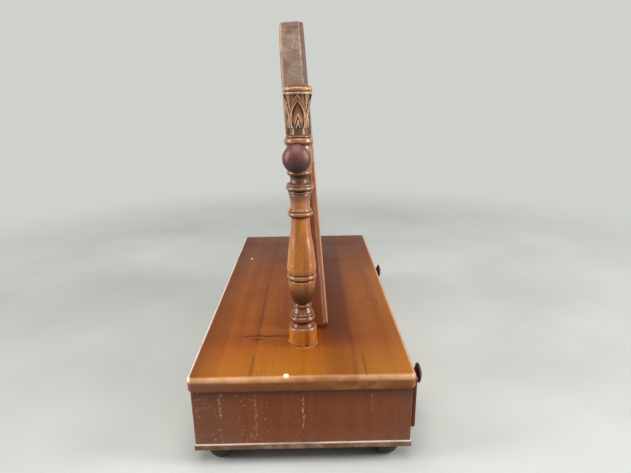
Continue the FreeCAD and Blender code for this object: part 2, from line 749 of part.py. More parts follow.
def arched(half_width, drop, y0, y1, corner_round=0.0):
    """A slab with a half-round top about the pivot line, straight sides and a level foot."""
    arc = Part.Arc(Vector(-half_width, y0, 0), Vector(0, y0, half_width), Vector(half_width, y0, 0))
    right = Part.LineSegment(Vector(half_width, y0, 0), Vector(half_width, y0, -drop))
    foot = Part.LineSegment(Vector(half_width, y0, -drop), Vector(-half_width, y0, -drop))
    left = Part.LineSegment(Vector(-half_width, y0, -drop), Vector(-half_width, y0, 0))
    wire = Part.Wire([edge.toShape() for edge in (arc, right, foot, left)])
    slab = Part.Face(wire).extrude(Vector(0, y1 - y0, 0))
    if corner_round:
        corners = [edge for edge in slab.Edges
                   if edge.BoundBox.ZMax < -drop + SAME_PLACE and edge.BoundBox.XLength < SAME_PLACE]
        slab = slab.makeFillet(corner_round, corners)
    return slab


def tilted(shape):
    """Lean a mirror piece back about the pivot line, and lift it to its height."""
    shape.rotate(Vector(0, 0, 0), Vector(1, 0, 0), -MIRROR_TILT)
    shape.translate(Vector(0, PIVOT_Y, PIVOT_Z))
    return shape


def make_frame():
    """The whole wooden frame, with the rebate that holds the glass."""
    back = FRAME_FRONT_Y + FRAME_DEPTH
    sight = MIRROR_HALF_WIDTH - FRAME_WIDTH
    rebate = sight + FRAME_REBATE_WIDTH
    sight_drop = MIRROR_BOTTOM_DROP - FRAME_WIDTH
    rebate_drop = sight_drop + FRAME_REBATE_WIDTH
    frame = arched(MIRROR_HALF_WIDTH, MIRROR_BOTTOM_DROP, FRAME_FRONT_Y, back, MIRROR_CORNER_ROUND)
    frame = frame.makeFillet(FRAME_BACK_ROUND, edges_in_plane(frame, "Y", back))
    frame = frame.cut(arched(sight, sight_drop, FRAME_FRONT_Y, back))
    frame = frame.cut(arched(rebate, rebate_drop, FRAME_FRONT_Y + FRAME_LIP_THICK, back))
    for side in SIDES.values():
        frame = frame.cut(rod(side * MIRROR_HALF_WIDTH, 0, 0, (-side, 0, 0), BOLT_BITE, BOLT_DIAMETER))
    return frame


def make_bead():
    """The rounded bead round the front of the frame."""
    front = FRAME_FRONT_Y - BEAD_THICK
    outer = MIRROR_HALF_WIDTH - BEAD_SETBACK
    outer_drop = MIRROR_BOTTOM_DROP - BEAD_SETBACK
    ring = arched(outer, outer_drop, front, FRAME_FRONT_Y, MIRROR_CORNER_ROUND)
    ring = ring.cut(arched(outer - BEAD_WIDTH, outer_drop - BEAD_WIDTH, front, FRAME_FRONT_Y))
    return ring.makeFillet(BEAD_ROUND, edges_in_plane(ring, "Y", front))


def make_back_board_pins(board_back, rebate):
    """Headless pins along the sides of the rebate, which hold the back board in."""
    pins = []
    y = board_back + PIN_DIAMETER / 2
    for side in SIDES.values():
        start = side * (rebate - PIN_SHOW)
        for z in (0, -PIN_ROW_HEIGHT, -2 * PIN_ROW_HEIGHT):
            pins.append(rod(start, y, z, (side, 0, 0), PIN_LENGTH, PIN_DIAMETER))
    return pins


def build_mirror():
    """The framed mirror that swings between the posts."""
    frame = make_frame()
    reach = MIRROR_HALF_WIDTH + FRAME_DEPTH
    rail_top = -(MIRROR_BOTTOM_DROP - FRAME_WIDTH)
    sight = MIRROR_HALF_WIDTH - FRAME_WIDTH
    rebate = sight + FRAME_REBATE_WIDTH
    rebate_drop = MIRROR_BOTTOM_DROP - FRAME_WIDTH + FRAME_REBATE_WIDTH
    glass_front = FRAME_FRONT_Y + FRAME_LIP_THICK
    board_front = glass_front + GLASS_THICK
    board_back = board_front + BACK_BOARD_THICK
    pins = make_back_board_pins(board_back, rebate)
    frame = frame.cut(Part.makeCompound(pins))
    arch = frame.common(block(-reach, reach, -reach, reach, -ARCH_LEG, reach))
    below = -2 * MIRROR_BOTTOM_DROP
    rail = frame.common(block(-sight, sight, -reach, reach, below, rail_top))
    save("mirror_arch", tilted(arch))
    save("mirror_bottom_rail", tilted(rail))
    for name, side in SIDES.items():
        stile = frame.common(block(side * sight, side * reach, -reach, reach, below, -ARCH_LEG))
        save("mirror_" + name + "_stile", tilted(stile))
    save("mirror_bead", tilted(make_bead()))
    pane = rebate - GLASS_GAP
    pane_drop = rebate_drop - GLASS_GAP
    save("mirror_glass", tilted(arched(pane, pane_drop, glass_front, board_front)))
    save("mirror_back_board", tilted(arched(pane, pane_drop, board_front, board_back)))
    save("back_board_pins", *[tilted(pin) for pin in pins])


def build_pivots():
    """The bolts, spacers and clamping knobs on which the mirror swings."""
    knob_face = POST_X + PIVOT_BLOCK_RADIUS + FACE_GAP
    bolt_start = MIRROR_HALF_WIDTH - BOLT_BITE
    bolt_end = knob_face + PIVOT_KNOB_BORE - FACE_GAP
    bolts = []
    spacers = []
    for name, side in SIDES.items():
        out = (side, 0, 0)
        bolt = rod(side * bolt_start, PIVOT_Y, PIVOT_Z, out, bolt_end - bolt_start, BOLT_DIAMETER)
        bolts.append(bolt)
        spacer = rod(side * MIRROR_HALF_WIDTH, PIVOT_Y, PIVOT_Z, out, SPACER_LENGTH, SPACER_DIAMETER)
        spacers.append(spacer.cut(bolt))
        save(name + "_pivot_knob", make_pivot_knob(side, knob_face))
    save("pivot_spacers", *spacers)
    save("pivot_bolts", *bolts)


def make_pivot_knob(side, face):
    """A domed, turned knob that screws on to the pivot bolt."""
    neck = PIVOT_KNOB_NECK_DIAMETER / 2
    edge = PIVOT_KNOB_EDGE_DIAMETER / 2
    outline = [
        (0, neck),
        (PIVOT_KNOB_NECK_LENGTH, neck, PIVOT_KNOB_WAIST_DIAMETER / 2),
        (PIVOT_KNOB_RIM_START, edge, PIVOT_KNOB_UNDER_DIAMETER / 2),
        (PIVOT_KNOB_RIM_END, edge, PIVOT_KNOB_DIAMETER / 2),
        (PIVOT_KNOB_LENGTH, 0),
    ]
    bore = rod(0, 0, 0, (0, 0, 1), PIVOT_KNOB_BORE, BOLT_DIAMETER + 2 * RUNNING_GAP)
    return aimed(turned(outline).cut(bore), side * face, PIVOT_Y, PIVOT_Z, (side, 0, 0))


# Musical movement

def involute(angle):
    """The involute of an angle."""
    return math.tan(angle) - angle


def tooth_half_angle(radius, teeth, module):
    """Half the angle that a tooth takes up at one radius."""
    base_radius = teeth * module / 2 * math.cos(PRESSURE_ANGLE)
    angle = math.acos(min(1.0, base_radius / radius))
    return TOOTH_SHARE * math.pi / (2 * teeth) + involute(PRESSURE_ANGLE) - involute(angle)


def make_gear(x, z, y, teeth, module, width, tooth_direction):
    """A spur gear about a line along Y, with one tooth centred on a direction in degrees from X to Z."""
    tip = module * (teeth / 2 + TOOTH_ADDENDUM)
    root = module * (teeth / 2 - TOOTH_DEDENDUM)
    root_half = tooth_half_angle(root, teeth, module)
    tip_half = tooth_half_angle(tip, teeth, module)
    outline = []
    for index in range(teeth):
        centre = math.radians(tooth_direction) + 2 * math.pi * index / teeth
        for radius, offset in ((root, -root_half), (tip, -tip_half), (tip, tip_half), (root, root_half)):
            angle = centre + offset
            outline.append((x + radius * math.cos(angle), y, z + radius * math.sin(angle)))
    return prism(outline, (0, width, 0))


def make_pinion(x, z, wheel_start, teeth, module, wheel_width, direction):
    """A pinion that a wheel drives: a little wider than the wheel, with a gap towards the wheel's tooth."""
    y = GAP_FRONT + wheel_start - PINION_OVERHANG
    width = wheel_width + 2 * PINION_OVERHANG
    return make_gear(x, z, y, teeth, module, width, direction + 180 + 180 / teeth)


def plate_holes():
    """The arbors' places in the plates, with each hole's diameter."""
    yield BARREL_X, AXIS_Z, WINDING_ARBOR_DIAMETER
    yield CYLINDER_X, AXIS_Z, ARBOR_DIAMETER
    yield SECOND_X, SECOND_Z, ARBOR_DIAMETER
    yield FAN_X, FAN_Z, FAN_ARBOR_DIAMETER


def pillar_places():
    """Where the pillars between the plates stand."""
    inset = PILLAR_DIAMETER
    yield PLATE_LEFT + inset, PLATE_TOP - inset
    yield PLATE_RIGHT - inset, PLATE_TOP - inset
    yield PLATE_LEFT + inset, PLATE_LOW + inset
    yield CYLINDER_X, PLATE_LOW + inset


def make_plate(y):
    """One of the two plates that carry the arbors."""
    plate = block(PLATE_LEFT, PLATE_RIGHT, y, y + PLATE_THICK, PLATE_LOW, PLATE_TOP)
    for x, z, diameter in plate_holes():
        plate = plate.cut(rod(x, y, z, (0, 1, 0), PLATE_THICK, diameter + 2 * RUNNING_GAP))
    stop_hole = rod(STOP_X, y, FAN_Z, (0, 1, 0), PLATE_THICK, STOP_ROD_DIAMETER + 2 * RUNNING_GAP)
    return plate.cut(stop_hole) if y == PLATE_FRONT else plate


def comb_screw_places():
    """Where the comb's screws stand."""
    middle = COMB_FRONT_Y + CYLINDER_LENGTH / 2
    for offset in (-COMB_SCREW_SPACING / 2, COMB_SCREW_SPACING / 2):
        yield COMB_BACK_X - COMB_ROOT / 2, middle + offset


def make_comb_screws():
    """The screws that hold the comb down on its seat."""
    bite = COMB_THICK + COMB_SCREW_BITE
    return [round_head_screw(x, y, AXIS_Z + COMB_THICK, (0, 0, 1), COMB_SCREW_DIAMETER, bite)
            for x, y in comb_screw_places()]


def make_bedplate(screws):
    """The cast bedplate, with the raised seat under the comb."""
    left = PLATE_LEFT - BEDPLATE_MARGIN
    right = COMB_BACK_X + BEDPLATE_MARGIN
    plate = block(left, right, PLATE_FRONT, PLATE_BACK, PANEL_Z, PLATE_LOW)
    seat = block(COMB_ROOT_X, COMB_BACK_X, COMB_FRONT_Y, COMB_FRONT_Y + CYLINDER_LENGTH, PLATE_LOW, AXIS_Z)
    return plate.fuse(seat).cut(Part.makeCompound(screws))


def make_comb(screws):
    """The steel comb: a plate slit into teeth, whose tips stand just clear of the pins."""
    top = AXIS_Z + COMB_THICK
    back_y = COMB_FRONT_Y + CYLINDER_LENGTH
    comb = block(COMB_TIP_X, COMB_BACK_X, COMB_FRONT_Y, back_y, AXIS_Z, top)
    pitch = CYLINDER_LENGTH / COMB_TEETH
    slits = []
    for index in range(1, COMB_TEETH):
        slit_y = COMB_FRONT_Y + index * pitch - COMB_SLIT / 2
        slits.append(block(COMB_TIP_X, COMB_ROOT_X, slit_y, slit_y + COMB_SLIT, AXIS_Z, top))
    return comb.cut(Part.makeCompound(slits)).cut(Part.makeCompound(screws))


def make_music_cylinder():
    """The brass cylinder with a pin under each tooth of the comb, set along a winding line of the tune."""
    start = GAP_FRONT + CYLINDER_START
    drum = rod(CYLINDER_X, start, AXIS_Z, (0, 1, 0), CYLINDER_LENGTH, CYLINDER_DIAMETER)
    pitch = CYLINDER_LENGTH / COMB_TEETH
    radius = CYLINDER_DIAMETER / 2
    pins = []
    for index in range(COMB_TEETH):
        y = start + (index + 0.5) * pitch
        for turn in (0.0, 0.5):
            angle = 2 * math.pi * ((index * PIN_TURN_STEPS % COMB_TEETH) / COMB_TEETH + turn)
            direction = (math.cos(angle), 0, math.sin(angle))
            inside = radius - PIN_HEIGHT
            pin = rod(CYLINDER_X + inside * direction[0], y, AXIS_Z + inside * direction[2],
                      direction, 2 * PIN_HEIGHT, MUSIC_PIN_DIAMETER)
            pins.append(pin)
    return drum.multiFuse(pins).cut(make_arbor(CYLINDER_X, AXIS_Z, ARBOR_DIAMETER))


def make_arbor(x, z, diameter):
    """A plain arbor that runs through both plates."""
    return rod(x, PLATE_FRONT, z, (0, 1, 0), PLATE_BACK - PLATE_FRONT, diameter)


def make_barrel_drum():
    """The spring barrel, a cup with the great wheel as its floor."""
    wheel_start = GAP_FRONT + BARREL_START
    wheel = make_gear(BARREL_X, AXIS_Z, wheel_start, BARREL_WHEEL_TEETH, BARREL_MODULE, WHEEL_WIDTH, 0)
    wall_start = wheel_start + WHEEL_WIDTH
    inner_diameter = BARREL_DIAMETER - 2 * BARREL_WALL
    bore_diameter = WINDING_ARBOR_DIAMETER + 2 * RUNNING_GAP
    wall = rod(BARREL_X, wall_start, AXIS_Z, (0, 1, 0), BARREL_LENGTH, BARREL_DIAMETER)
    hollow = rod(BARREL_X, wall_start, AXIS_Z, (0, 1, 0), BARREL_LENGTH, inner_diameter)
    bore = rod(BARREL_X, wheel_start, AXIS_Z, (0, 1, 0), WHEEL_WIDTH, bore_diameter)
    return wheel.fuse(wall.cut(hollow)).cut(bore)


def make_barrel_cap():
    """The lid that closes the spring barrel."""
    start = GAP_FRONT + BARREL_START + WHEEL_WIDTH + BARREL_LENGTH
    cap = rod(BARREL_X, start, AXIS_Z, (0, 1, 0), BARREL_WALL, BARREL_DIAMETER)
    bore = rod(BARREL_X, start, AXIS_Z, (0, 1, 0), BARREL_WALL, WINDING_ARBOR_DIAMETER + 2 * RUNNING_GAP)
    return cap.cut(bore)


def make_mainspring():
    """A spiral strip of half circles, which ends against the barrel's wall."""
    outer = BARREL_DIAMETER / 2 - BARREL_WALL
    step = (outer - SPRING_THICK - SPRING_INNER_RADIUS) / (2 * SPRING_TURNS)
    y = GAP_FRONT + BARREL_START + WHEEL_WIDTH + BARREL_WALL

    def half_turns(first_radius):
        """Half circles whose radius grows by a step each, about centres that shift by the same step."""
        arcs = []
        place = BARREL_X + first_radius
        for index in range(2 * SPRING_TURNS):
            radius = first_radius + index * step + step / 2
            side = 1 if index % 2 == 0 else -1
            far = place - 2 * side * radius
            top = Vector((place + far) / 2, y, AXIS_Z + side * radius)
            arcs.append(Part.Arc(Vector(place, y, AXIS_Z), top, Vector(far, y, AXIS_Z)))
            place = far
        return arcs, place

    inside, inside_end = half_turns(SPRING_INNER_RADIUS)
    outside, outside_end = half_turns(SPRING_INNER_RADIUS + SPRING_THICK)
    first = Part.LineSegment(Vector(BARREL_X + SPRING_INNER_RADIUS, y, AXIS_Z),
                             Vector(BARREL_X + SPRING_INNER_RADIUS + SPRING_THICK, y, AXIS_Z))
    last = Part.LineSegment(Vector(inside_end, y, AXIS_Z), Vector(outside_end, y, AXIS_Z))
    edges = [edge.toShape() for edge in [first] + inside + outside + [last]]
    wire = Part.Wire(Part.__sortEdges__(edges))
    return Part.Face(wire).extrude(Vector(0, BARREL_LENGTH - 2 * BARREL_WALL, 0))


def make_winding_key():
    """A butterfly key on the end of the winding arbor."""
    hub = rod(BARREL_X, KEY_FRONT, AXIS_Z, (0, 1, 0), KEY_HUB_LENGTH, KEY_HUB_DIAMETER)
    wing_start = KEY_FRONT + KEY_HUB_LENGTH
    half = KEY_WING_SPAN / 2
    lobe = KEY_WING_LENGTH
    low = AXIS_Z - KEY_WING_THICK / 2
    lobes = []
    for side in SIDES.values():
        x = BARREL_X + side * (half - lobe / 2)
        y = wing_start + lobe / 2
        disc = rod(x, y, low, (0, 0, 1), KEY_WING_THICK, lobe)
        hole = rod(x, y, low, (0, 0, 1), KEY_WING_THICK, KEY_HOLE_DIAMETER)
        neck = block(BARREL_X, x, wing_start - KEY_WING_BITE, y, low, low + KEY_WING_THICK)
        lobes.append(neck.fuse(disc).cut(hole))
    socket = rod(BARREL_X, KEY_FRONT, AXIS_Z, (0, 1, 0), KEY_SOCKET_DEPTH, WINDING_ARBOR_DIAMETER)
    return hub.multiFuse(lobes).cut(socket)


def make_fan():
    """The fan that slows the movement: a hub, two vanes and the disc that the stop rod presses."""
    start = GAP_FRONT + FAN_START
    hub = rod(FAN_X, start, FAN_Z, (0, 1, 0), FAN_LENGTH, FAN_HUB_DIAMETER)
    vane = block(FAN_X - FAN_RADIUS, FAN_X + FAN_RADIUS, start, start + FAN_LENGTH,
                 FAN_Z - FAN_VANE_THICK / 2, FAN_Z + FAN_VANE_THICK / 2)
    disc = rod(FAN_X, STOP_FACE, FAN_Z, (0, 1, 0), BRAKE_DISC_THICK, BRAKE_DISC_DIAMETER)
    return hub.multiFuse([vane, disc]).cut(make_arbor(FAN_X, FAN_Z, FAN_ARBOR_DIAMETER))


def make_stop_rod():
    """The rod that the closed drawer pushes against the fan's disc."""
    front = DRAWER_END + STOP_GAP
    head = rod(STOP_X, front, FAN_Z, (0, 1, 0), STOP_HEAD_LENGTH, STOP_HEAD_DIAMETER)
    return head.fuse(rod(STOP_X, front, FAN_Z, (0, 1, 0), STOP_FACE - STOP_GAP - front, STOP_ROD_DIAMETER))


def build_movement():
    """The plates, the train from the spring barrel to the fan, and the comb."""
    screws = make_comb_screws()
    save("movement_bedplate", make_bedplate(screws))
    save("movement_front_plate", make_plate(PLATE_FRONT))
    save("movement_rear_plate", make_plate(GAP_BACK))
    save("movement_pillars", *[rod(x, GAP_FRONT, z, (0, 1, 0), PLATE_GAP, PILLAR_DIAMETER)
                               for x, z in pillar_places()])
    save("music_comb", make_comb(screws))
    save("comb_screws", *screws)
    save("barrel_drum", make_barrel_drum())
    save("barrel_cap", make_barrel_cap())
    save("mainspring", make_mainspring())
    key_end = KEY_FRONT + KEY_SOCKET_DEPTH
    save("winding_arbor", rod(BARREL_X, PLATE_FRONT, AXIS_Z, (0, 1, 0), key_end - PLATE_FRONT,
                              WINDING_ARBOR_DIAMETER))
    save("winding_key", make_winding_key())
    build_cylinder()
    build_governor()
    save("stop_rod", make_stop_rod())


def build_cylinder():
    """The pinned cylinder, its arbor with the driven pinion, and the wheel at its far end."""
    arbor = make_arbor(CYLINDER_X, AXIS_Z, ARBOR_DIAMETER)
    pinion = make_pinion(CYLINDER_X, AXIS_Z, BARREL_START, CYLINDER_PINION_TEETH,
                         BARREL_MODULE, WHEEL_WIDTH, 0)
    wheel = make_gear(CYLINDER_X, AXIS_Z, GAP_FRONT + CYLINDER_WHEEL_START, CYLINDER_WHEEL_TEETH,
                      CYLINDER_MODULE, THIN_WHEEL_WIDTH, SECOND_DIRECTION)
    save("cylinder_arbor", arbor.fuse(pinion))
    save("cylinder_wheel", wheel.cut(arbor))
    save("music_cylinder", make_music_cylinder())


def build_governor():
    """The second arbor and the fan, which turn ever faster and hold the speed down."""
    second_arbor = make_arbor(SECOND_X, SECOND_Z, ARBOR_DIAMETER)
    second_pinion = make_pinion(SECOND_X, SECOND_Z, CYLINDER_WHEEL_START, SECOND_PINION_TEETH,
                                CYLINDER_MODULE, THIN_WHEEL_WIDTH, SECOND_DIRECTION)
    second_wheel = make_gear(SECOND_X, SECOND_Z, GAP_FRONT + SECOND_WHEEL_START, SECOND_WHEEL_TEETH,
                             SECOND_MODULE, THIN_WHEEL_WIDTH, SECOND_DIRECTION)
    fan_arbor = make_arbor(FAN_X, FAN_Z, FAN_ARBOR_DIAMETER)
    fan_pinion = make_pinion(FAN_X, FAN_Z, SECOND_WHEEL_START, FAN_PINION_TEETH,
                             SECOND_MODULE, THIN_WHEEL_WIDTH, SECOND_DIRECTION)
    save("second_pinion", second_arbor.fuse(second_pinion))
    save("second_wheel", second_wheel.cut(second_arbor))
    save("fan_pinion", fan_arbor.fuse(fan_pinion))
    save("governor_fan", make_fan())


build_box()
build_drawer()
build_posts()
build_mirror()
build_pivots()
build_movement()
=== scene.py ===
import math

import bpy
from mathutils import Matrix, Vector

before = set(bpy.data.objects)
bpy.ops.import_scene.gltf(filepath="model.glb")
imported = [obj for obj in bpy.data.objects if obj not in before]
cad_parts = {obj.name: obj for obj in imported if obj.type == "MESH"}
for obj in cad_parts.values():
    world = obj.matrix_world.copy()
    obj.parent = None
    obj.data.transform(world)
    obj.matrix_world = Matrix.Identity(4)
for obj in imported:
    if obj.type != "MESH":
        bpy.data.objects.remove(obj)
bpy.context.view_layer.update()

# Dressing mirror on a drawer box, with a musical movement behind the drawer.
# Places and sizes are in millimetres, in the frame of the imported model.

# Camera, as the photograph was taken: from the left end, looking along +X and a little down
IMAGE_WIDTH_PIXELS = 631
FOCAL_PIXELS = 473.7
SENSOR_WIDTH = 36.0
CAMERA_PLACE = (-702.9, -6.9, 409.7)
CAMERA_YAW = math.radians(-0.64)
CAMERA_PITCH = math.radians(17.10)
CAMERA_ROLL = math.radians(-0.76)
CAMERA_CLIP_START = 10.0

# Lamps: where each stands, its width and height and its power in watts
LAMP_AIM = (-60.0, 0.0, 200.0)
LAMPS = {
    "softbox_back": ((-500.0, 2000.0, 970.0), (720.0, 1900.0), 51.0),
    "softbox_front": ((-500.0, -2000.0, 970.0), (720.0, 1900.0), 67.0),
    "overhead_far": ((-200.0, 0.0, 1700.0), (800.0, 800.0), 15.0),
    "overhead_near": ((-900.0, 0.0, 1500.0), (1700.0, 450.0), 12.0),
}

# Backdrop and floor. The room above darkens between two heights, of which 1 is straight up.
BACKDROP = "#cfd1cd"
ROOM_ABOVE = "#5a5a58"
ROOM_HEIGHTS = (0.25, 0.55)
WORLD_LIGHT = 0.1
FLOOR_REACH = 2000.0
FLOOR_FADE = (650.0, 1400.0)

# Case: the heights of its base and its top, and the top's edges
BASE_TOP_Z = 29.0
DECK_Z = 116.0
TOP_BACK_Y = 130.15
TOP_FRONT_Y = -119.85

# Posts: where the right one stands, and from where to where up both each tone comes in; that of the cup is
# painted shade
POST_PLACE = (183.0, 4.15)
POST_BASE_Z = (136.0, 140.0)
CUP_SHADE_Z = (206.0, 182.0)
SHAFT_TOP_Z = (265.0, 285.0)
CROWN_Z = (412.8, 414.4)
# Painted shade on the necks below and above the pivot knob and on the feet of the leaves, and painted
# highlights
# on the pale rims under the crown: the middle of each, half its height and its soft edge
NECK_SHADES = ((317.5, 5.0, 3.0), (367.0, 2.5, 3.0))
LEAF_FOOT_SHADE = (374.0, 1.0, 5.0)
RIM_HIGHLIGHTS = (410.0, 3.2, 0.6)

# Mirror: its pivot's height, the arch's middle radius and its lean as a slope
PIVOT_Z = 342.0
ARCH_MIDDLE_RADIUS = 142.0
MIRROR_LEAN = math.tan(math.radians(4.0))
# From where to where the tone of the arch comes in up the frame, which on the bead is painted shade, and that
# of its back edge through it, pale wear with a painted highlight
ARCH_Z = (332.0, 392.0)
FRAME_BACK_Y = (14.5, 15.9)

# Wood figure: the width and the length of its bands, streaks and pores.
# Real pores are about 0.2 mm wide, and are drawn wider here so that they show.
BAND = (13.0, 420.0)
STREAK = (2.2, 90.0)
PORE = (0.9, 11.0)
PORE_DEPTH = 0.2

# Lines of brushed metal: real ones are under 0.1 mm wide, and are drawn wider here so that they show
BRUSH_LINE = (0.5, 30.0)
BRUSH_DEPTH = 0.1

# Pebbles of painted cast iron
PEBBLE = 0.8
PEBBLE_DEPTH = 0.2

# Refractive indices
POLISH_IOR = 1.5
BARE_WOOD_IOR = 1.45

# Noise, grooves and edges. The shares say how open a groove is, and how deep the material at an edge,
# where it begins to show and where it shows in full.
NOISE_DETAIL = 3.0
NOOK_SAMPLES = 8
GROOVE_OPEN_SHARE = (0.88, 0.45)
EDGE_DEEP_SHARE = (0.85, 0.35)

# Tones of the top: from where to where along X or Y each comes in
BOARD_JOINTS = (61.0, -54.0)
JOINT_SOFT_EDGE = 0.5
BACK_MARGIN_Y = (96.0, 126.0)
FRONT_LIGHT_Y = (-56.0, -116.0)
FRONT_LIGHT_X = (200.0, 40.0)
LEFT_THIRD_X = (-80.0, -140.0)
# A painted glow of light on the near left end
LEFT_END_GLOW_X = (-190.0, -240.0)
# Painted shade that darkens the far right end, where light falls off
RIGHT_END_SHADE_X = (0.0, 210.0)
# Painted shadow and reflection of the mirror and its post on the top, in front of the mirror
MIRROR_SHADE_BACK_Y = (-4.0, -30.0)
MIRROR_SHADE_FRONT_Y = (-60.0, -52.0)
MIRROR_SHADE_X = (-205.0, -155.0)

# Edges of the top: how far below it they are rounded and upright, and how far in they are worn and painted
# with highlights
ROUND_DROP = (0.3, 1.6)
SIDE_DROP = (4.5, 7.5)
EDGE_INSET = (4.5, 2.0)
SIDE_BACK_Y = (60.0, 125.0)
SIDE_GOLD_Y = (40.0, -110.0)
# The stretch of the rounded ends that is less pale, with less wear and painted highlight: its middle along Y,
# half its width and its soft edge
LESS_PALE_END = (-25.0, 15.0, 55.0)

# Marks on the top, as the photograph shows them. A line is half its width and its soft edge.
GLUE_LINE = (0.2, 3.0)
RING_STAIN_PLACE = (-77.0, -88.9)
RING_STAIN_RADIUS = 12.5
RING_STAIN_LINE = (0.4, 0.6)
# Cracks across the grain: where each is along X, its middle and half its length
CRACKS = ((-170.0, 50.0, 33.0), (-178.0, 60.0, 12.0))
CRACK_LINE = (0.7, 0.9)
CRACK_TAPER = 8.0
CRACK_WANDER = (-4.0, 4.0)
SPLIT_Y = -65.3
SPLIT_LINE = (0.2, 0.7)
SPLIT_X = (-205.0, -225.0)
# A dot of pale paint and a chip: where each is and its radius
PALE_DOTS = (((119.0, 101.0), 2.1), ((-257.0, 22.0), 2.7))
PALE_DOT_SOFT_EDGE = 0.4
WAX_RING_RADIUS = 17.6
WAX_LINE = (0.2, 0.5)

# Rows of pale scuffs down the left end panel:
# where each is along Y, its lowest and highest point and its strength
SCUFF_ROWS = (
    (96.0, 62.0, 92.0, 0.8),
    (57.0, 34.0, 94.0, 0.4),
    (4.0, 46.0, 91.0, 0.7),
    (-72.0, 66.0, 94.0, 0.25),
)
SCUFF_LINE = (0.2, 1.4)
SCUFF_TAPER = 6.0
SCUFF_WANDER = (-2.0, 2.0)

# Tones of the left end panel: from where to where along Y or Z each comes in
SPECKLED_Y = (-20.0, 70.0)
TOWARD_ENDS_Y = (50.0, 125.0)
SHADED_Z = (78.0, 98.0)
DUSTY_Z = (52.0, BASE_TOP_Z)

# Rubbed edge of the base, pale from wear and a painted highlight: how far below the base's top it begins, and
# shows in full
BASE_EDGE_DROP = (1.6, 0.6)


def mm(value):
    """Millimetres as metres."""
    return value / 1000


def metres(values):
    """Several values in millimetres, as metres."""
    return [mm(value) for value in values]


def point(place):
    """A place in millimetres as a vector in metres."""
    return Vector(metres(place))


def linear(hex_colour):
    """An sRGB hex colour as linear red, green, blue and alpha."""
    channels = [int(hex_colour[start:start + 2], 16) / 255 for start in (1, 3, 5)]
    return [c / 12.92 if c <= 0.04045 else ((c + 0.055) / 1.055) ** 2.4 for c in channels] + [1.0]


def add_node(tree, kind, inputs=(), out=0, **options):
    """Add a shader node, set its options, set or link its inputs, and return one of its outputs.

    Inputs are listed in the node's own order, or named. A hex colour is turned to linear light.
    """
    node = tree.nodes.new("ShaderNode" + kind)
    for name, value in options.items():
        setattr(node, name, value)
    named = inputs if isinstance(inputs, dict) else dict(enumerate(inputs))
    for name, value in named.items():
        if isinstance(value, bpy.types.NodeSocket):
            tree.links.new(value, node.inputs[name])
        else:
            node.inputs[name].default_value = linear(value) if isinstance(value, str) else value
    return node.outputs[out] if node.outputs else None


def new_material(name):
    """An empty material and its node tree."""
    material = bpy.data.materials.new(name)
    material.use_nodes = True
    material.node_tree.nodes.clear()
    return material, material.node_tree


def show_surface(tree, **inputs):
    """End a material's tree with its shader. An input's name has _ for each space."""
    named = {name.replace("_", " "): value for name, value in inputs.items()}
    shader = add_node(tree, "BsdfPrincipled", named)
    add_node(tree, "OutputMaterial", [shader])


# Patterns

def places(tree):
    """A point's X, Y and Z on the object, in metres."""
    place = add_node(tree, "TexCoord", out="Object")
    return add_node(tree, "SeparateXYZ", [place]).node.outputs


def streaks(tree, along, size, low=0.0, high=1.0, place=None):
    """Noise drawn out along one axis, from the real width and length of a streak.

    The noise is 0 at its low limit and 1 at its high one.
    """
    width, length = size
    scale = [1 / mm(width)] * 3
    scale["XYZ".index(along)] = 1 / mm(length)
    place = place or add_node(tree, "TexCoord", out="Object")
    drawn = add_node(tree, "Mapping", {"Vector": place, "Scale": scale})
    noise = add_node(tree, "TexNoise", {"Vector": drawn, "Scale": 1.0, "Detail": NOISE_DETAIL})
    return add_node(tree, "MapRange", [noise, low, high])


def blotches(tree, size, low=0.0, high=1.0):
    """Even noise, from the real size of a blotch."""
    return streaks(tree, "X", (size, size), low, high)


def spots(tree, spacing, radius):
    """Scattered round spots with soft edges, from their usual spacing and their radius."""
    place = add_node(tree, "TexCoord", out="Object")
    distance = add_node(tree, "TexVoronoi", {"Vector": place, "Scale": 1 / mm(spacing)})
    return add_node(tree, "MapRange", [distance, radius / spacing, radius / spacing / 2])


def facing(tree, axis):
    """How far a surface faces along an axis, from -1 to 1."""
    normal = add_node(tree, "TexCoord", out="Normal")
    return add_node(tree, "SeparateXYZ", [normal], axis)


def grooves(tree, reach):
    """How deep a point lies in a groove or corner, from 0 to 1."""
    open_share = add_node(tree, "AmbientOcclusion", {"Distance": mm(reach)}, "AO",
                          samples=NOOK_SAMPLES, only_local=True)
    return add_node(tree, "MapRange", [open_share, *GROOVE_OPEN_SHARE])


def edges(tree, reach):
    """How near a point is to a sharp edge, from 0 to 1."""
    deep_share = add_node(tree, "AmbientOcclusion", {"Distance": mm(reach)}, "AO",
                          samples=NOOK_SAMPLES, only_local=True, inside=True)
    return add_node(tree, "MapRange", [deep_share, *EDGE_DEEP_SHARE])


def line_mark(tree, value, place, half_width, soft_edge):
    """1 on a line across an axis, and 0 beyond its soft edge."""
    offset = add_node(tree, "Math", [value, mm(place)], operation="SUBTRACT")
    distance = add_node(tree, "Math", [offset], operation="ABSOLUTE")
    return add_node(tree, "MapRange", [distance, mm(half_width + soft_edge), mm(half_width)])


def distance_on_plan(tree, x, y, place):
    """The distance from a place, seen from above."""
    plan = add_node(tree, "CombineXYZ", [x, y])
    return add_node(tree, "VectorMath", [plan, point((*place, 0.0))], "Value", operation="DISTANCE")


def lay_coats(tree, colour, *coats):
    """Lay thin coats over a colour. A coat is its colour, its strength and the factors that mask it."""
    for coat, strength, *masks in coats:
        for mask in masks:
            strength = add_node(tree, "Math", [strength, mask], operation="MULTIPLY")
        colour = add_node(tree, "MixRGB", [strength, colour, coat])
    return colour


# Wood

def end_grain(tree, along):
    """1 where a board is cut across its grain, and 0 along it."""
    across = add_node(tree, "Math", [facing(tree, along)], operation="ABSOLUTE")
    return add_node(tree, "MapRange", [across, 0.6, 0.9])


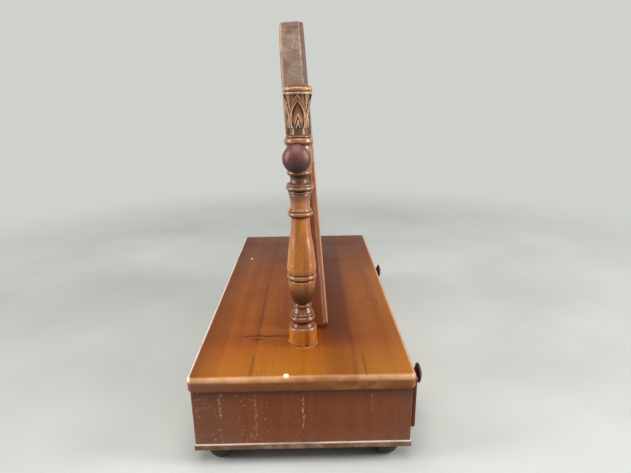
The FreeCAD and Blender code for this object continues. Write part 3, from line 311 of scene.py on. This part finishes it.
def wood_colour(tree, along, dark, light, place=None, filled=0.45):
    """Stained wood: broad bands from dark to light, fine darker streaks, and stain that fills the pores."""
    bands = streaks(tree, along, BAND, 0.32, 0.68, place)
    lines = streaks(tree, along, STREAK, 0.62, 0.38, place)
    pores = streaks(tree, along, PORE, 0.52, 0.68, place)
    return lay_coats(
        tree, add_node(tree, "MixRGB", [bands, dark, light]),
        (dark, 0.35, lines),
        ("#241006", filled, pores))


def wood_pores(tree, along, strength, place=None):
    """Open pores under the polish, as a bump."""
    pores = streaks(tree, along, PORE, place=place)
    return add_node(tree, "Bump", {"Height": pores, "Strength": strength, "Distance": mm(PORE_DEPTH)})


def rubbed(tree, rough, smear):
    """Roughness of a hand-rubbed finish that is duller in patches."""
    patches = blotches(tree, smear, 0.35, 0.75)
    return add_node(tree, "MapRange", [patches, 0.0, 1.0, rough, rough + 0.16])


# Finishes of the case

def top_marks(tree, x, y):
    """The coats that mark the top: glue lines, ring stain, cracks, split, pale dots, wax round the posts."""
    for joint in BOARD_JOINTS:
        yield "#3d1f0e", 0.45, line_mark(tree, y, joint, *GLUE_LINE), blotches(tree, 40.0, 0.3, 0.6)
    from_stain = distance_on_plan(tree, x, y, RING_STAIN_PLACE)
    ring = line_mark(tree, from_stain, RING_STAIN_RADIUS, *RING_STAIN_LINE)
    yield "#3a1c0c", 0.75, ring, blotches(tree, 20.0, 0.25, 0.5)
    wander = add_node(tree, "MapRange", [blotches(tree, 14.0), 0.0, 1.0, *metres(CRACK_WANDER)])
    crack_x = add_node(tree, "Math", [x, wander], operation="ADD")
    for crack, middle, half_length in CRACKS:
        crack_length = line_mark(tree, y, middle, half_length - CRACK_TAPER, CRACK_TAPER)
        yield "#1c0d06", 0.9, line_mark(tree, crack_x, crack, *CRACK_LINE), crack_length
    split_length = add_node(tree, "MapRange", [x, *metres(SPLIT_X)])
    yield "#2a1308", 0.7, line_mark(tree, y, SPLIT_Y, *SPLIT_LINE), split_length
    for place, radius in PALE_DOTS:
        from_dot = distance_on_plan(tree, x, y, place)
        yield "#f6e3b4", 1.0, line_mark(tree, from_dot, 0.0, radius, PALE_DOT_SOFT_EDGE)
    for side in (-1, 1):
        from_post = distance_on_plan(tree, x, y, (side * POST_PLACE[0], POST_PLACE[1]))
        wax = line_mark(tree, from_post, WAX_RING_RADIUS, *WAX_LINE)
        yield "#dcc3a8", 0.8, wax, blotches(tree, 12.0, 0.4, 0.6)


def polished_mahogany_top():
    """Three boards of mahogany, glued edge to edge and polished.

    Golden brown, with a painted glow at the near left end and painted shade that makes it redder and darker
    to the right and in front of the mirror, a soft shine, and edges rubbed pale and painted with highlights.
    """
    material, tree = new_material("polished_mahogany_top")
    x, y, z = places(tree)
    back_joint, front_joint = BOARD_JOINTS
    back_board = add_node(
        tree, "MapRange", [y, mm(back_joint - JOINT_SOFT_EDGE), mm(back_joint + JOINT_SOFT_EDGE)])
    front_board = add_node(
        tree, "MapRange", [y, mm(front_joint + JOINT_SOFT_EDGE), mm(front_joint - JOINT_SOFT_EDGE)])
    front_light_y = add_node(tree, "MapRange", [y, *metres(FRONT_LIGHT_Y)])
    front_light_x = add_node(tree, "MapRange", [x, *metres(FRONT_LIGHT_X)])
    back_margin = add_node(tree, "MapRange", [y, *metres(BACK_MARGIN_Y)])
    left_third = add_node(tree, "MapRange", [x, *metres(LEFT_THIRD_X)])
    left_end = add_node(tree, "MapRange", [x, *metres(LEFT_END_GLOW_X)])
    right_end = add_node(tree, "MapRange", [x, *metres(RIGHT_END_SHADE_X)])
    shade_from_back = add_node(tree, "MapRange", [y, *metres(MIRROR_SHADE_BACK_Y)])
    shade_from_front = add_node(tree, "MapRange", [y, *metres(MIRROR_SHADE_FRONT_Y)])
    shade_inward = add_node(tree, "MapRange", [x, *metres(MIRROR_SHADE_X), 0.5, 1.0])
    rounded = add_node(tree, "MapRange", [z, *metres(DECK_Z - drop for drop in ROUND_DROP)])
    back_edge = add_node(tree, "MapRange", [y, *metres(TOP_BACK_Y - inset for inset in EDGE_INSET)])
    front_edge = add_node(tree, "MapRange", [y, *metres(TOP_FRONT_Y + inset for inset in EDGE_INSET)])
    less_pale = line_mark(tree, y, *LESS_PALE_END)
    side_face = add_node(tree, "MapRange", [z, *metres(DECK_Z - drop for drop in SIDE_DROP)])
    side_back = add_node(tree, "MapRange", [y, *metres(SIDE_BACK_Y)])
    side_gold = add_node(tree, "MapRange", [y, *metres(SIDE_GOLD_Y)])
    light_streaks = streaks(tree, "X", (24.0, 500.0), 0.3, 0.6)
    colour = lay_coats(
        tree, wood_colour(tree, "X", "#85430a", "#9f570d"),
        ("#853c0b", 0.6, back_board, blotches(tree, 60.0, 0.3, 0.7)),
        ("#63300b", 0.7, front_board),
        ("#9c6029", 0.6, front_board, front_light_y, front_light_x, light_streaks),
        ("#6f3505", 0.3, left_third),
        # painted glow of light on the near left end
        ("#c08a2a", 0.15, left_end),
        # painted shadow and reflection of the mirror in front of it
        ("#4b1c04", 0.9, shade_from_back, shade_from_front, shade_inward),
        # painted shade, darker and redder toward the far right end
        ("#552812", 0.76, right_end),
        ("#4b220e", 0.6, back_margin),
        *top_marks(tree, x, y),
        # rounded edges pale from wear and from painted highlights, the back edge most of all
        ("#c4956b", 0.85, rounded, blotches(tree, 22.0, 0.2, 0.6)),
        ("#8a4c1a", 0.75, rounded, less_pale, blotches(tree, 14.0, 0.1, 0.5)),
        ("#f2e6d8", 0.85, rounded, back_edge, blotches(tree, 50.0, 0.25, 0.45)),
        ("#b58450", 0.7, rounded, front_edge, blotches(tree, 40.0, 0.2, 0.5)),
        (wood_colour(tree, "Y", "#6d360f", "#894b17"), 1.0, side_face),
        ("#744a3d", 0.6, side_face, side_back),
        ("#966e38", 0.7, side_face, side_gold, blotches(tree, 16.0, 0.45, 0.6)))
    show_surface(
        tree, Base_Color=colour, Roughness=rubbed(tree, 0.32, 60.0), Normal=wood_pores(tree, "X", 0.12),
        IOR=POLISH_IOR, Specular_IOR_Level=0.32)
    return material


def panel_colour(tree, along):
    """Stained mahogany of the case: red brown, quiet figure, dark end grain, sharp edges rubbed pale."""
    return lay_coats(
        tree, wood_colour(tree, along, "#743816", "#824019", filled=0.2),
        ("#3d1d10", 0.75, end_grain(tree, along)),
        ("#cfa98c", 0.8, edges(tree, 2.0), blotches(tree, 9.0, 0.3, 0.55)))


def show_panel(tree, colour, along):
    """The old polish of the case, which has lost much of its gloss."""
    show_surface(
        tree, Base_Color=colour, Roughness=rubbed(tree, 0.38, 40.0), Normal=wood_pores(tree, along, 0.1),
        IOR=POLISH_IOR, Specular_IOR_Level=0.25)


def stained_panel(along):
    """Stained and polished mahogany: plain red brown, semi-gloss."""
    material, tree = new_material("stained_panel_" + along.lower())
    show_panel(tree, panel_colour(tree, along), along)
    return material


def panel_scuffs(tree, y, z):
    """The coats of pale scuffs down the left end panel."""
    for row, low, high, strength in SCUFF_ROWS:
        wander = add_node(tree, "MapRange", [blotches(tree, 8.0), 0.0, 1.0, *metres(SCUFF_WANDER)])
        row_y = add_node(tree, "Math", [y, wander], operation="ADD")
        scuff_length = line_mark(tree, z, (low + high) / 2, (high - low) / 2 - SCUFF_TAPER, SCUFF_TAPER)
        scuff = line_mark(tree, row_y, row, *SCUFF_LINE)
        yield "#d8bfad", strength, scuff, scuff_length, blotches(tree, 3.0, 0.45, 0.65)


def scuffed_panel():
    """Stained and polished mahogany with rows of pale scuffs and specks, as on the left end."""
    material, tree = new_material("scuffed_panel")
    _, y, z = places(tree)
    speckled = add_node(tree, "MapRange", [y, *metres(SPECKLED_Y)])
    from_middle = add_node(tree, "Math", [y], operation="ABSOLUTE")
    toward_ends = add_node(tree, "MapRange", [from_middle, *metres(TOWARD_ENDS_Y)])
    shaded = add_node(tree, "MapRange", [z, *metres(SHADED_Z)])
    dusty = add_node(tree, "MapRange", [z, *metres(DUSTY_Z)])
    colour = lay_coats(
        tree, panel_colour(tree, "Z"),
        ("#6f4e40", 0.55, toward_ends, blotches(tree, 30.0, 0.2, 0.55)),
        ("#50240c", 0.6, shaded),
        ("#846755", 0.35, dusty, blotches(tree, 10.0, 0.3, 0.65)),
        *panel_scuffs(tree, y, z),
        ("#d9bda9", 0.5, speckled, spots(tree, 5.0, 0.9), blotches(tree, 20.0, 0.38, 0.55)),
        ("#b98e75", 0.35, speckled, spots(tree, 11.0, 2.4), blotches(tree, 30.0, 0.35, 0.55)))
    show_panel(tree, colour, "Z")
    return material


def rubbed_base():
    """Dark stained base board, whose upper edge is rubbed down to pale wood and carries a painted highlight.
    """
    material, tree = new_material("rubbed_base")
    _, _, z = places(tree)
    upper_edge = add_node(tree, "MapRange", [z, *metres(BASE_TOP_Z - drop for drop in BASE_EDGE_DROP)])
    colour = lay_coats(
        tree, wood_colour(tree, "Y", "#62412f", "#805b46"),
        ("#9f8675", 0.6, blotches(tree, 14.0, 0.45, 0.65)),
        # pale wear and a painted highlight along the upper edge
        ("#dcc6b8", 0.9, upper_edge, blotches(tree, 40.0, 0.2, 0.5)))
    show_panel(tree, colour, "Y")
    return material


def turned_mahogany():
    """Turned and polished mahogany of the posts: golden brown, glossy, with old polish and painted shade dark
    in the grooves.

    Edges are rubbed pale and carry painted highlights, and painted shade darkens the surfaces that face down,
    the cups, the necks and the feet of the leaves.
    """
    material, tree = new_material("turned_mahogany")
    _, _, z = places(tree)
    upward = facing(tree, "Z")
    above = add_node(tree, "MapRange", [upward, -0.02, 0.14])
    below = add_node(tree, "MapRange", [upward, -0.03, -0.32])
    above_base = add_node(tree, "MapRange", [z, *metres(POST_BASE_Z)])
    cup_shade = add_node(tree, "MapRange", [z, *metres(CUP_SHADE_Z)])
    upper = add_node(tree, "MapRange", [z, *metres(SHAFT_TOP_Z)])
    crown = add_node(tree, "MapRange", [z, *metres(CROWN_Z)])
    colour = lay_coats(
        tree, wood_colour(tree, "Z", "#8f4a0f", "#cd8230"),
        ("#90705a", 0.45, upper, blotches(tree, 10.0, 0.15, 0.5)),
        ("#69300f", 0.85, crown),
        # painted shade on the cup, which faces down
        ("#5c2703", 0.75, cup_shade, above_base),
        # painted shade on the necks under the knob and under the leaves
        *[("#3b1c12", 0.65, line_mark(tree, z, *neck_shade)) for neck_shade in NECK_SHADES],
        # painted shade on the faces that face up
        ("#4a2411", 0.25, above, blotches(tree, 16.0, 0.2, 0.6)),
        # painted shade on the surfaces that face down
        ("#33150a", 0.85, below),
        # painted highlights on the rims under the crown
        ("#c49a74", 0.6, line_mark(tree, z, *RIM_HIGHLIGHTS), blotches(tree, 5.0, 0.25, 0.55)),
        # old polish in the grooves with painted shade, broad under the rings and near black in the narrow
        # grooves
        ("#3f1c0b", 0.7, grooves(tree, 9.0)),
        ("#190a06", 0.95, grooves(tree, 3.0)),
        # pale wear on the edges with painted highlights
        ("#ecccaa", 0.8, edges(tree, 1.5), blotches(tree, 5.0, 0.2, 0.5)),
        # painted shade at the feet of the leaves
        ("#4a2a18", 0.6, line_mark(tree, z, *LEAF_FOOT_SHADE)))
    show_surface(
        tree, Base_Color=colour, Roughness=rubbed(tree, 0.26, 18.0), Normal=wood_pores(tree, "Z", 0.1),
        IOR=POLISH_IOR, Specular_IOR_Level=0.4, Coat_Weight=0.25, Coat_Roughness=0.22)
    return material


def lacquered_knob(name, dark, light, along):
    """Dark lacquer over turned wood: red brown, with painted shade that makes it nearly black underneath,
    rubbed down to a soft shine.
    """
    material, tree = new_material(name)
    below = add_node(tree, "MapRange", [facing(tree, "Z"), 0.15, -0.5])
    colour = lay_coats(
        tree, wood_colour(tree, along, dark, light),
        ("#7a3a2f", 0.35, blotches(tree, 8.0, 0.5, 0.8)),
        # painted shade on the faces that face down
        ("#231a1d", 0.75, below))
    show_surface(
        tree, Base_Color=colour, Roughness=rubbed(tree, 0.36, 9.0), Normal=wood_pores(tree, along, 0.08),
        IOR=POLISH_IOR, Specular_IOR_Level=0.35)
    return material


def planed_pine(along):
    """Bare planed softwood of the drawer's inside: pale, dry and yellowed with age."""
    material, tree = new_material("planed_pine_" + along.lower())
    colour = lay_coats(
        tree, wood_colour(tree, along, "#a98152", "#cfae7e"),
        ("#7d5c38", 0.6, edges(tree, 2.0), blotches(tree, 12.0, 0.35, 0.65)))
    show_surface(
        tree, Base_Color=colour, Roughness=rubbed(tree, 0.6, 30.0), Normal=wood_pores(tree, along, 0.25),
        IOR=BARE_WOOD_IOR)
    return material


def brown_board(along):
    """Thin board behind the glass and the drawer: plain brown wood, unpolished, darkened by age."""
    material, tree = new_material("brown_board_" + along.lower())
    colour = lay_coats(
        tree, wood_colour(tree, along, "#5e4129", "#7d5a3a"),
        ("#4a311f", 0.5, blotches(tree, 45.0, 0.5, 0.75)))
    show_surface(
        tree, Base_Color=colour, Roughness=rubbed(tree, 0.62, 25.0), Normal=wood_pores(tree, along, 0.25),
        IOR=BARE_WOOD_IOR)
    return material


# Finishes of the mirror

def frame_places(tree):
    """Places along, through and across the leaning frame: bent round its arch, and straight below it."""
    x, y, z = places(tree)
    above = add_node(tree, "Math", [z, mm(PIVOT_Z)], operation="SUBTRACT")
    rise = add_node(tree, "Math", [above, 0.0], operation="MAXIMUM")
    drop = add_node(tree, "Math", [above, 0.0], operation="MINIMUM")
    angle = add_node(tree, "Math", [x, rise], operation="ARCTAN2")
    along = add_node(tree, "Math", [angle, mm(ARCH_MIDDLE_RADIUS), drop], operation="MULTIPLY_ADD")
    through = add_node(tree, "Math", [above, -MIRROR_LEAN, y], operation="MULTIPLY_ADD")
    spoke = add_node(tree, "CombineXYZ", {"X": x, "Z": rise})
    radius = add_node(tree, "VectorMath", [spoke], "Value", operation="LENGTH")
    return add_node(tree, "CombineXYZ", [along, through, radius])


def bent_frame_wood(name, dark, light, arch, dust):
    """Stained wood of the mirror's frame: the grain bends round its arch, which is dark and dusty on top,
    dark from painted shade on the bead, with wear and a painted highlight along its back edge.
    """
    material, tree = new_material(name)
    place = frame_places(tree)
    through = add_node(tree, "SeparateXYZ", [place], "Y")
    _, _, z = places(tree)
    on_arch = add_node(tree, "MapRange", [z, *metres(ARCH_Z)])
    level = add_node(tree, "MapRange", [facing(tree, "Z"), 0.15, 0.7])
    near_back = add_node(tree, "MapRange", [through, *metres(FRAME_BACK_Y)])
    outer_side = add_node(tree, "MapRange", [facing(tree, "Y"), 0.8, 0.4])
    colour = lay_coats(
        tree, wood_colour(tree, "X", dark, light, place),
        # the arch's own tone; on the bead it is painted shade
        (arch, 0.85, on_arch),
        ("#86735f", dust, level, blotches(tree, 14.0, 0.3, 0.65), blotches(tree, 3.0, 0.2, 0.6)),
        # pale wear with a painted highlight along the back edge of the arch
        ("#a98059", 0.75, on_arch, near_back, outer_side, blotches(tree, 12.0, 0.2, 0.5)),
        ("#d2a77a", 0.75, edges(tree, 2.0), blotches(tree, 9.0, 0.35, 0.6)))
    rough = add_node(tree, "MapRange", [level, 0.0, 1.0, 0.36, 0.7])
    show_surface(
        tree, Base_Color=colour, Roughness=rough, Normal=wood_pores(tree, "X", 0.12, place), IOR=POLISH_IOR)
    return material


def silvered_glass():
    """Plate glass silvered on its back: a clear reflection, with grey spots where the silver has gone."""
    material, tree = new_material("silvered_glass")
    patches = blotches(tree, 40.0, 0.5, 0.62)
    bare = add_node(tree, "Math", [blotches(tree, 3.0, 0.68, 0.74), patches], operation="MULTIPLY")
    colour = lay_coats(tree, "#e6e9e8", ("#6f6a60", 1.0, bare))
    rough = add_node(tree, "MapRange", [bare, 0.0, 1.0, 0.02, 0.5])
    show_surface(tree, Base_Color=colour, Metallic=1.0, Roughness=rough)
    return material


# Finishes of the fittings and the movement

def brushed_metal(name, bright, dull, along, rough):
    """Metal finished with fine lines along one axis: a streaky shine, tarnished in patches and corners."""
    material, tree = new_material(name)
    lines = streaks(tree, along, BRUSH_LINE)
    colour = lay_coats(
        tree, bright,
        (dull, 0.6, blotches(tree, 9.0, 0.45, 0.75)),
        (dull, 0.6, grooves(tree, 1.5)))
    roughness = add_node(tree, "MapRange", [lines, 0.0, 1.0, rough - 0.1, rough + 0.12])
    bump = add_node(tree, "Bump", {"Height": lines, "Strength": 0.12, "Distance": mm(BRUSH_DEPTH)})
    show_surface(tree, Base_Color=colour, Metallic=1.0, Roughness=roughness, Normal=bump)
    return material


def painted_casting():
    """Cast iron under a thin bronze paint: slightly pebbled and dull."""
    material, tree = new_material("painted_casting")
    colour = lay_coats(tree, "#5d5646", ("#776d55", 1.0, blotches(tree, 11.0, 0.4, 0.7)))
    pebbles = blotches(tree, PEBBLE)
    bump = add_node(tree, "Bump", {"Height": pebbles, "Strength": 0.35, "Distance": mm(PEBBLE_DEPTH)})
    show_surface(tree, Base_Color=colour, Roughness=rubbed(tree, 0.5, 6.0), Normal=bump, IOR=POLISH_IOR)
    return material


# Dressing

def dress(material, *names):
    """Give CAD nodes a finish."""
    for name in names:
        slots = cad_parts[name].data.materials
        slots.clear()
        slots.append(material)


def dress_case():
    """Finishes of the box, its posts and its drawer."""
    dress(polished_mahogany_top(), "top_board")
    dress(rubbed_base(), "base_board")
    dress(scuffed_panel(), "left_end_panel")
    dress(stained_panel("X"), "back_panel", "top_rail", "drawer_front")
    dress(stained_panel("Z"), "right_end_panel", "left_stile", "right_stile")
    dress(turned_mahogany(), "left_post", "right_post")
    dress(lacquered_knob("pivot_knob_lacquer", "#5c2f29", "#734139", "X"),
          "left_pivot_knob", "right_pivot_knob")
    dress(lacquered_knob("drawer_knob_lacquer", "#2a1215", "#3d1c1e", "Y"),
          "drawer_left_knob", "drawer_right_knob")
    # The feet are painted near black, partly for the shade under the case
    dress(lacquered_knob("shaded_foot_lacquer", "#2b1a13", "#44291d", "Z"),
          "front_left_foot", "front_right_foot", "back_left_foot", "back_right_foot")
    dress(planed_pine("Y"), "left_runner", "right_runner", "drawer_left_side", "drawer_right_side")
    dress(planed_pine("X"), "drawer_back", "drawer_bottom")
    dress(brown_board("X"), "partition")


def dress_mirror():
    """Finishes of the mirror."""
    dress(bent_frame_wood("frame_wood", "#733a1e", "#8c4f2c", "#402d1f", 0.66),
          "mirror_arch", "mirror_left_stile", "mirror_right_stile", "mirror_bottom_rail")
    # On the bead, the arch's dark colour is painted shade
    dress(bent_frame_wood("bead_wood", "#a36d50", "#bb8566", "#33201d", 0.1), "mirror_bead")
    dress(brown_board("Z"), "mirror_back_board")
    dress(silvered_glass(), "mirror_glass")


def dress_metal():
    """Finishes of the fittings and the musical movement."""
    dress(brushed_metal("turned_brass", "#d2a55c", "#8a6630", "Y", 0.3),
          "music_cylinder", "barrel_drum", "barrel_cap", "cylinder_wheel", "second_wheel", "governor_fan",
          "winding_key")
    dress(brushed_metal("sheet_brass", "#cfa766", "#8f6e3c", "X", 0.34),
          "movement_front_plate", "movement_rear_plate", "post_bushes", "pivot_spacers", "back_panel_screws")
    dress(brushed_metal("bright_steel", "#b9b9ba", "#6c6a68", "Y", 0.3),
          "winding_arbor", "cylinder_arbor", "second_pinion", "fan_pinion", "movement_pillars", "stop_rod",
          "drawer_knob_screws", "comb_screws")
    dress(brushed_metal("comb_steel", "#a9abb0", "#62646a", "X", 0.28),
          "music_comb", "pivot_bolts", "back_board_pins")
    dress(brushed_metal("blued_steel", "#39465f", "#20242e", "Y", 0.32), "mainspring")
    dress(painted_casting(), "movement_bedplate")


# Stage

def studio_floor():
    """Plain pale grey sheet that the object stands on, which fades out into the backdrop."""
    material, tree = new_material("studio_floor")
    place = add_node(tree, "TexCoord", out="Object")
    distance = add_node(tree, "VectorMath", [place], "Value", operation="LENGTH")
    far = add_node(tree, "MapRange", [distance, *metres(FLOOR_FADE)], interpolation_type="SMOOTHSTEP")
    colour = lay_coats(tree, "#a9aba6", ("#b3b5b0", 1.0, blotches(tree, 260.0, 0.35, 0.65)))
    sheet = add_node(
        tree, "BsdfPrincipled", {"Base Color": colour, "Roughness": 0.8, "Specular IOR Level": 0.2})
    clear = add_node(tree, "BsdfTransparent")
    add_node(tree, "OutputMaterial", [add_node(tree, "MixShader", [far, sheet, clear])])
    return material


def make_floor():
    """A wide level floor."""
    reach = mm(FLOOR_REACH)
    mesh = bpy.data.meshes.new("floor")
    corners = [(-reach, -reach, 0), (reach, -reach, 0), (reach, reach, 0), (-reach, reach, 0)]
    mesh.from_pydata(corners, [], [(0, 1, 2, 3)])
    mesh.materials.append(studio_floor())
    floor = bpy.data.objects.new("floor", mesh)
    bpy.context.scene.collection.objects.link(floor)


def make_lamps():
    """Soft lamps, each turned to the object: one tall box at each side and two above."""
    for name, (place, (width, height), power) in LAMPS.items():
        data = bpy.data.lights.new(name, "AREA")
        data.shape = "RECTANGLE"
        data.size = mm(width)
        data.size_y = mm(height)
        data.energy = power
        lamp = bpy.data.objects.new(name, data)
        lamp.location = point(place)
        lamp.rotation_euler = (point(LAMP_AIM) - lamp.location).to_track_quat("-Z", "Y").to_euler()
        bpy.context.scene.collection.objects.link(lamp)


def make_world():
    """Even light from all round; the camera, gloss and glass see a pale backdrop with a dim room above it."""
    world = bpy.data.worlds.new("studio")
    bpy.context.scene.world = world
    world.use_nodes = True
    tree = world.node_tree
    tree.nodes.clear()
    rays = add_node(tree, "LightPath").node.outputs
    shown = rays["Is Camera Ray"]
    for ray in ("Is Glossy Ray", "Is Transmission Ray"):
        shown = add_node(tree, "Math", [shown, rays[ray]], operation="MAXIMUM")
    light = add_node(tree, "Background", ["#ffffff", WORLD_LIGHT])
    direction = add_node(tree, "TexCoord", out="Generated")
    height = add_node(tree, "SeparateXYZ", [direction], "Z")
    above = add_node(tree, "MapRange", [height, *ROOM_HEIGHTS])
    backdrop = add_node(tree, "Background", [lay_coats(tree, BACKDROP, (ROOM_ABOVE, 1.0, above)), 1.0])
    add_node(tree, "OutputWorld", [add_node(tree, "MixShader", [shown, light, backdrop])])


def make_camera():
    """The camera at the photograph's place, turned as it was held."""
    forward = Vector((
        math.cos(CAMERA_PITCH) * math.cos(CAMERA_YAW),
        math.cos(CAMERA_PITCH) * math.sin(CAMERA_YAW),
        -math.sin(CAMERA_PITCH)))
    level = Vector((math.sin(CAMERA_YAW), -math.cos(CAMERA_YAW), 0))
    upright = level.cross(forward)
    right = math.cos(CAMERA_ROLL) * level + math.sin(CAMERA_ROLL) * upright
    up = math.cos(CAMERA_ROLL) * upright - math.sin(CAMERA_ROLL) * level
    data = bpy.data.cameras.new("camera")
    data.sensor_width = SENSOR_WIDTH
    data.lens = FOCAL_PIXELS / IMAGE_WIDTH_PIXELS * SENSOR_WIDTH
    data.clip_start = mm(CAMERA_CLIP_START)
    camera = bpy.data.objects.new("camera", data)
    turn = Matrix((right, up, -forward)).transposed()
    camera.matrix_world = Matrix.Translation(point(CAMERA_PLACE)) @ turn.to_4x4()
    bpy.context.scene.collection.objects.link(camera)
    bpy.context.scene.camera = camera


dress_case()
dress_mirror()
dress_metal()
make_floor()
make_lamps()
make_world()
make_camera()
bpy.context.scene.view_settings.view_transform = "Standard"
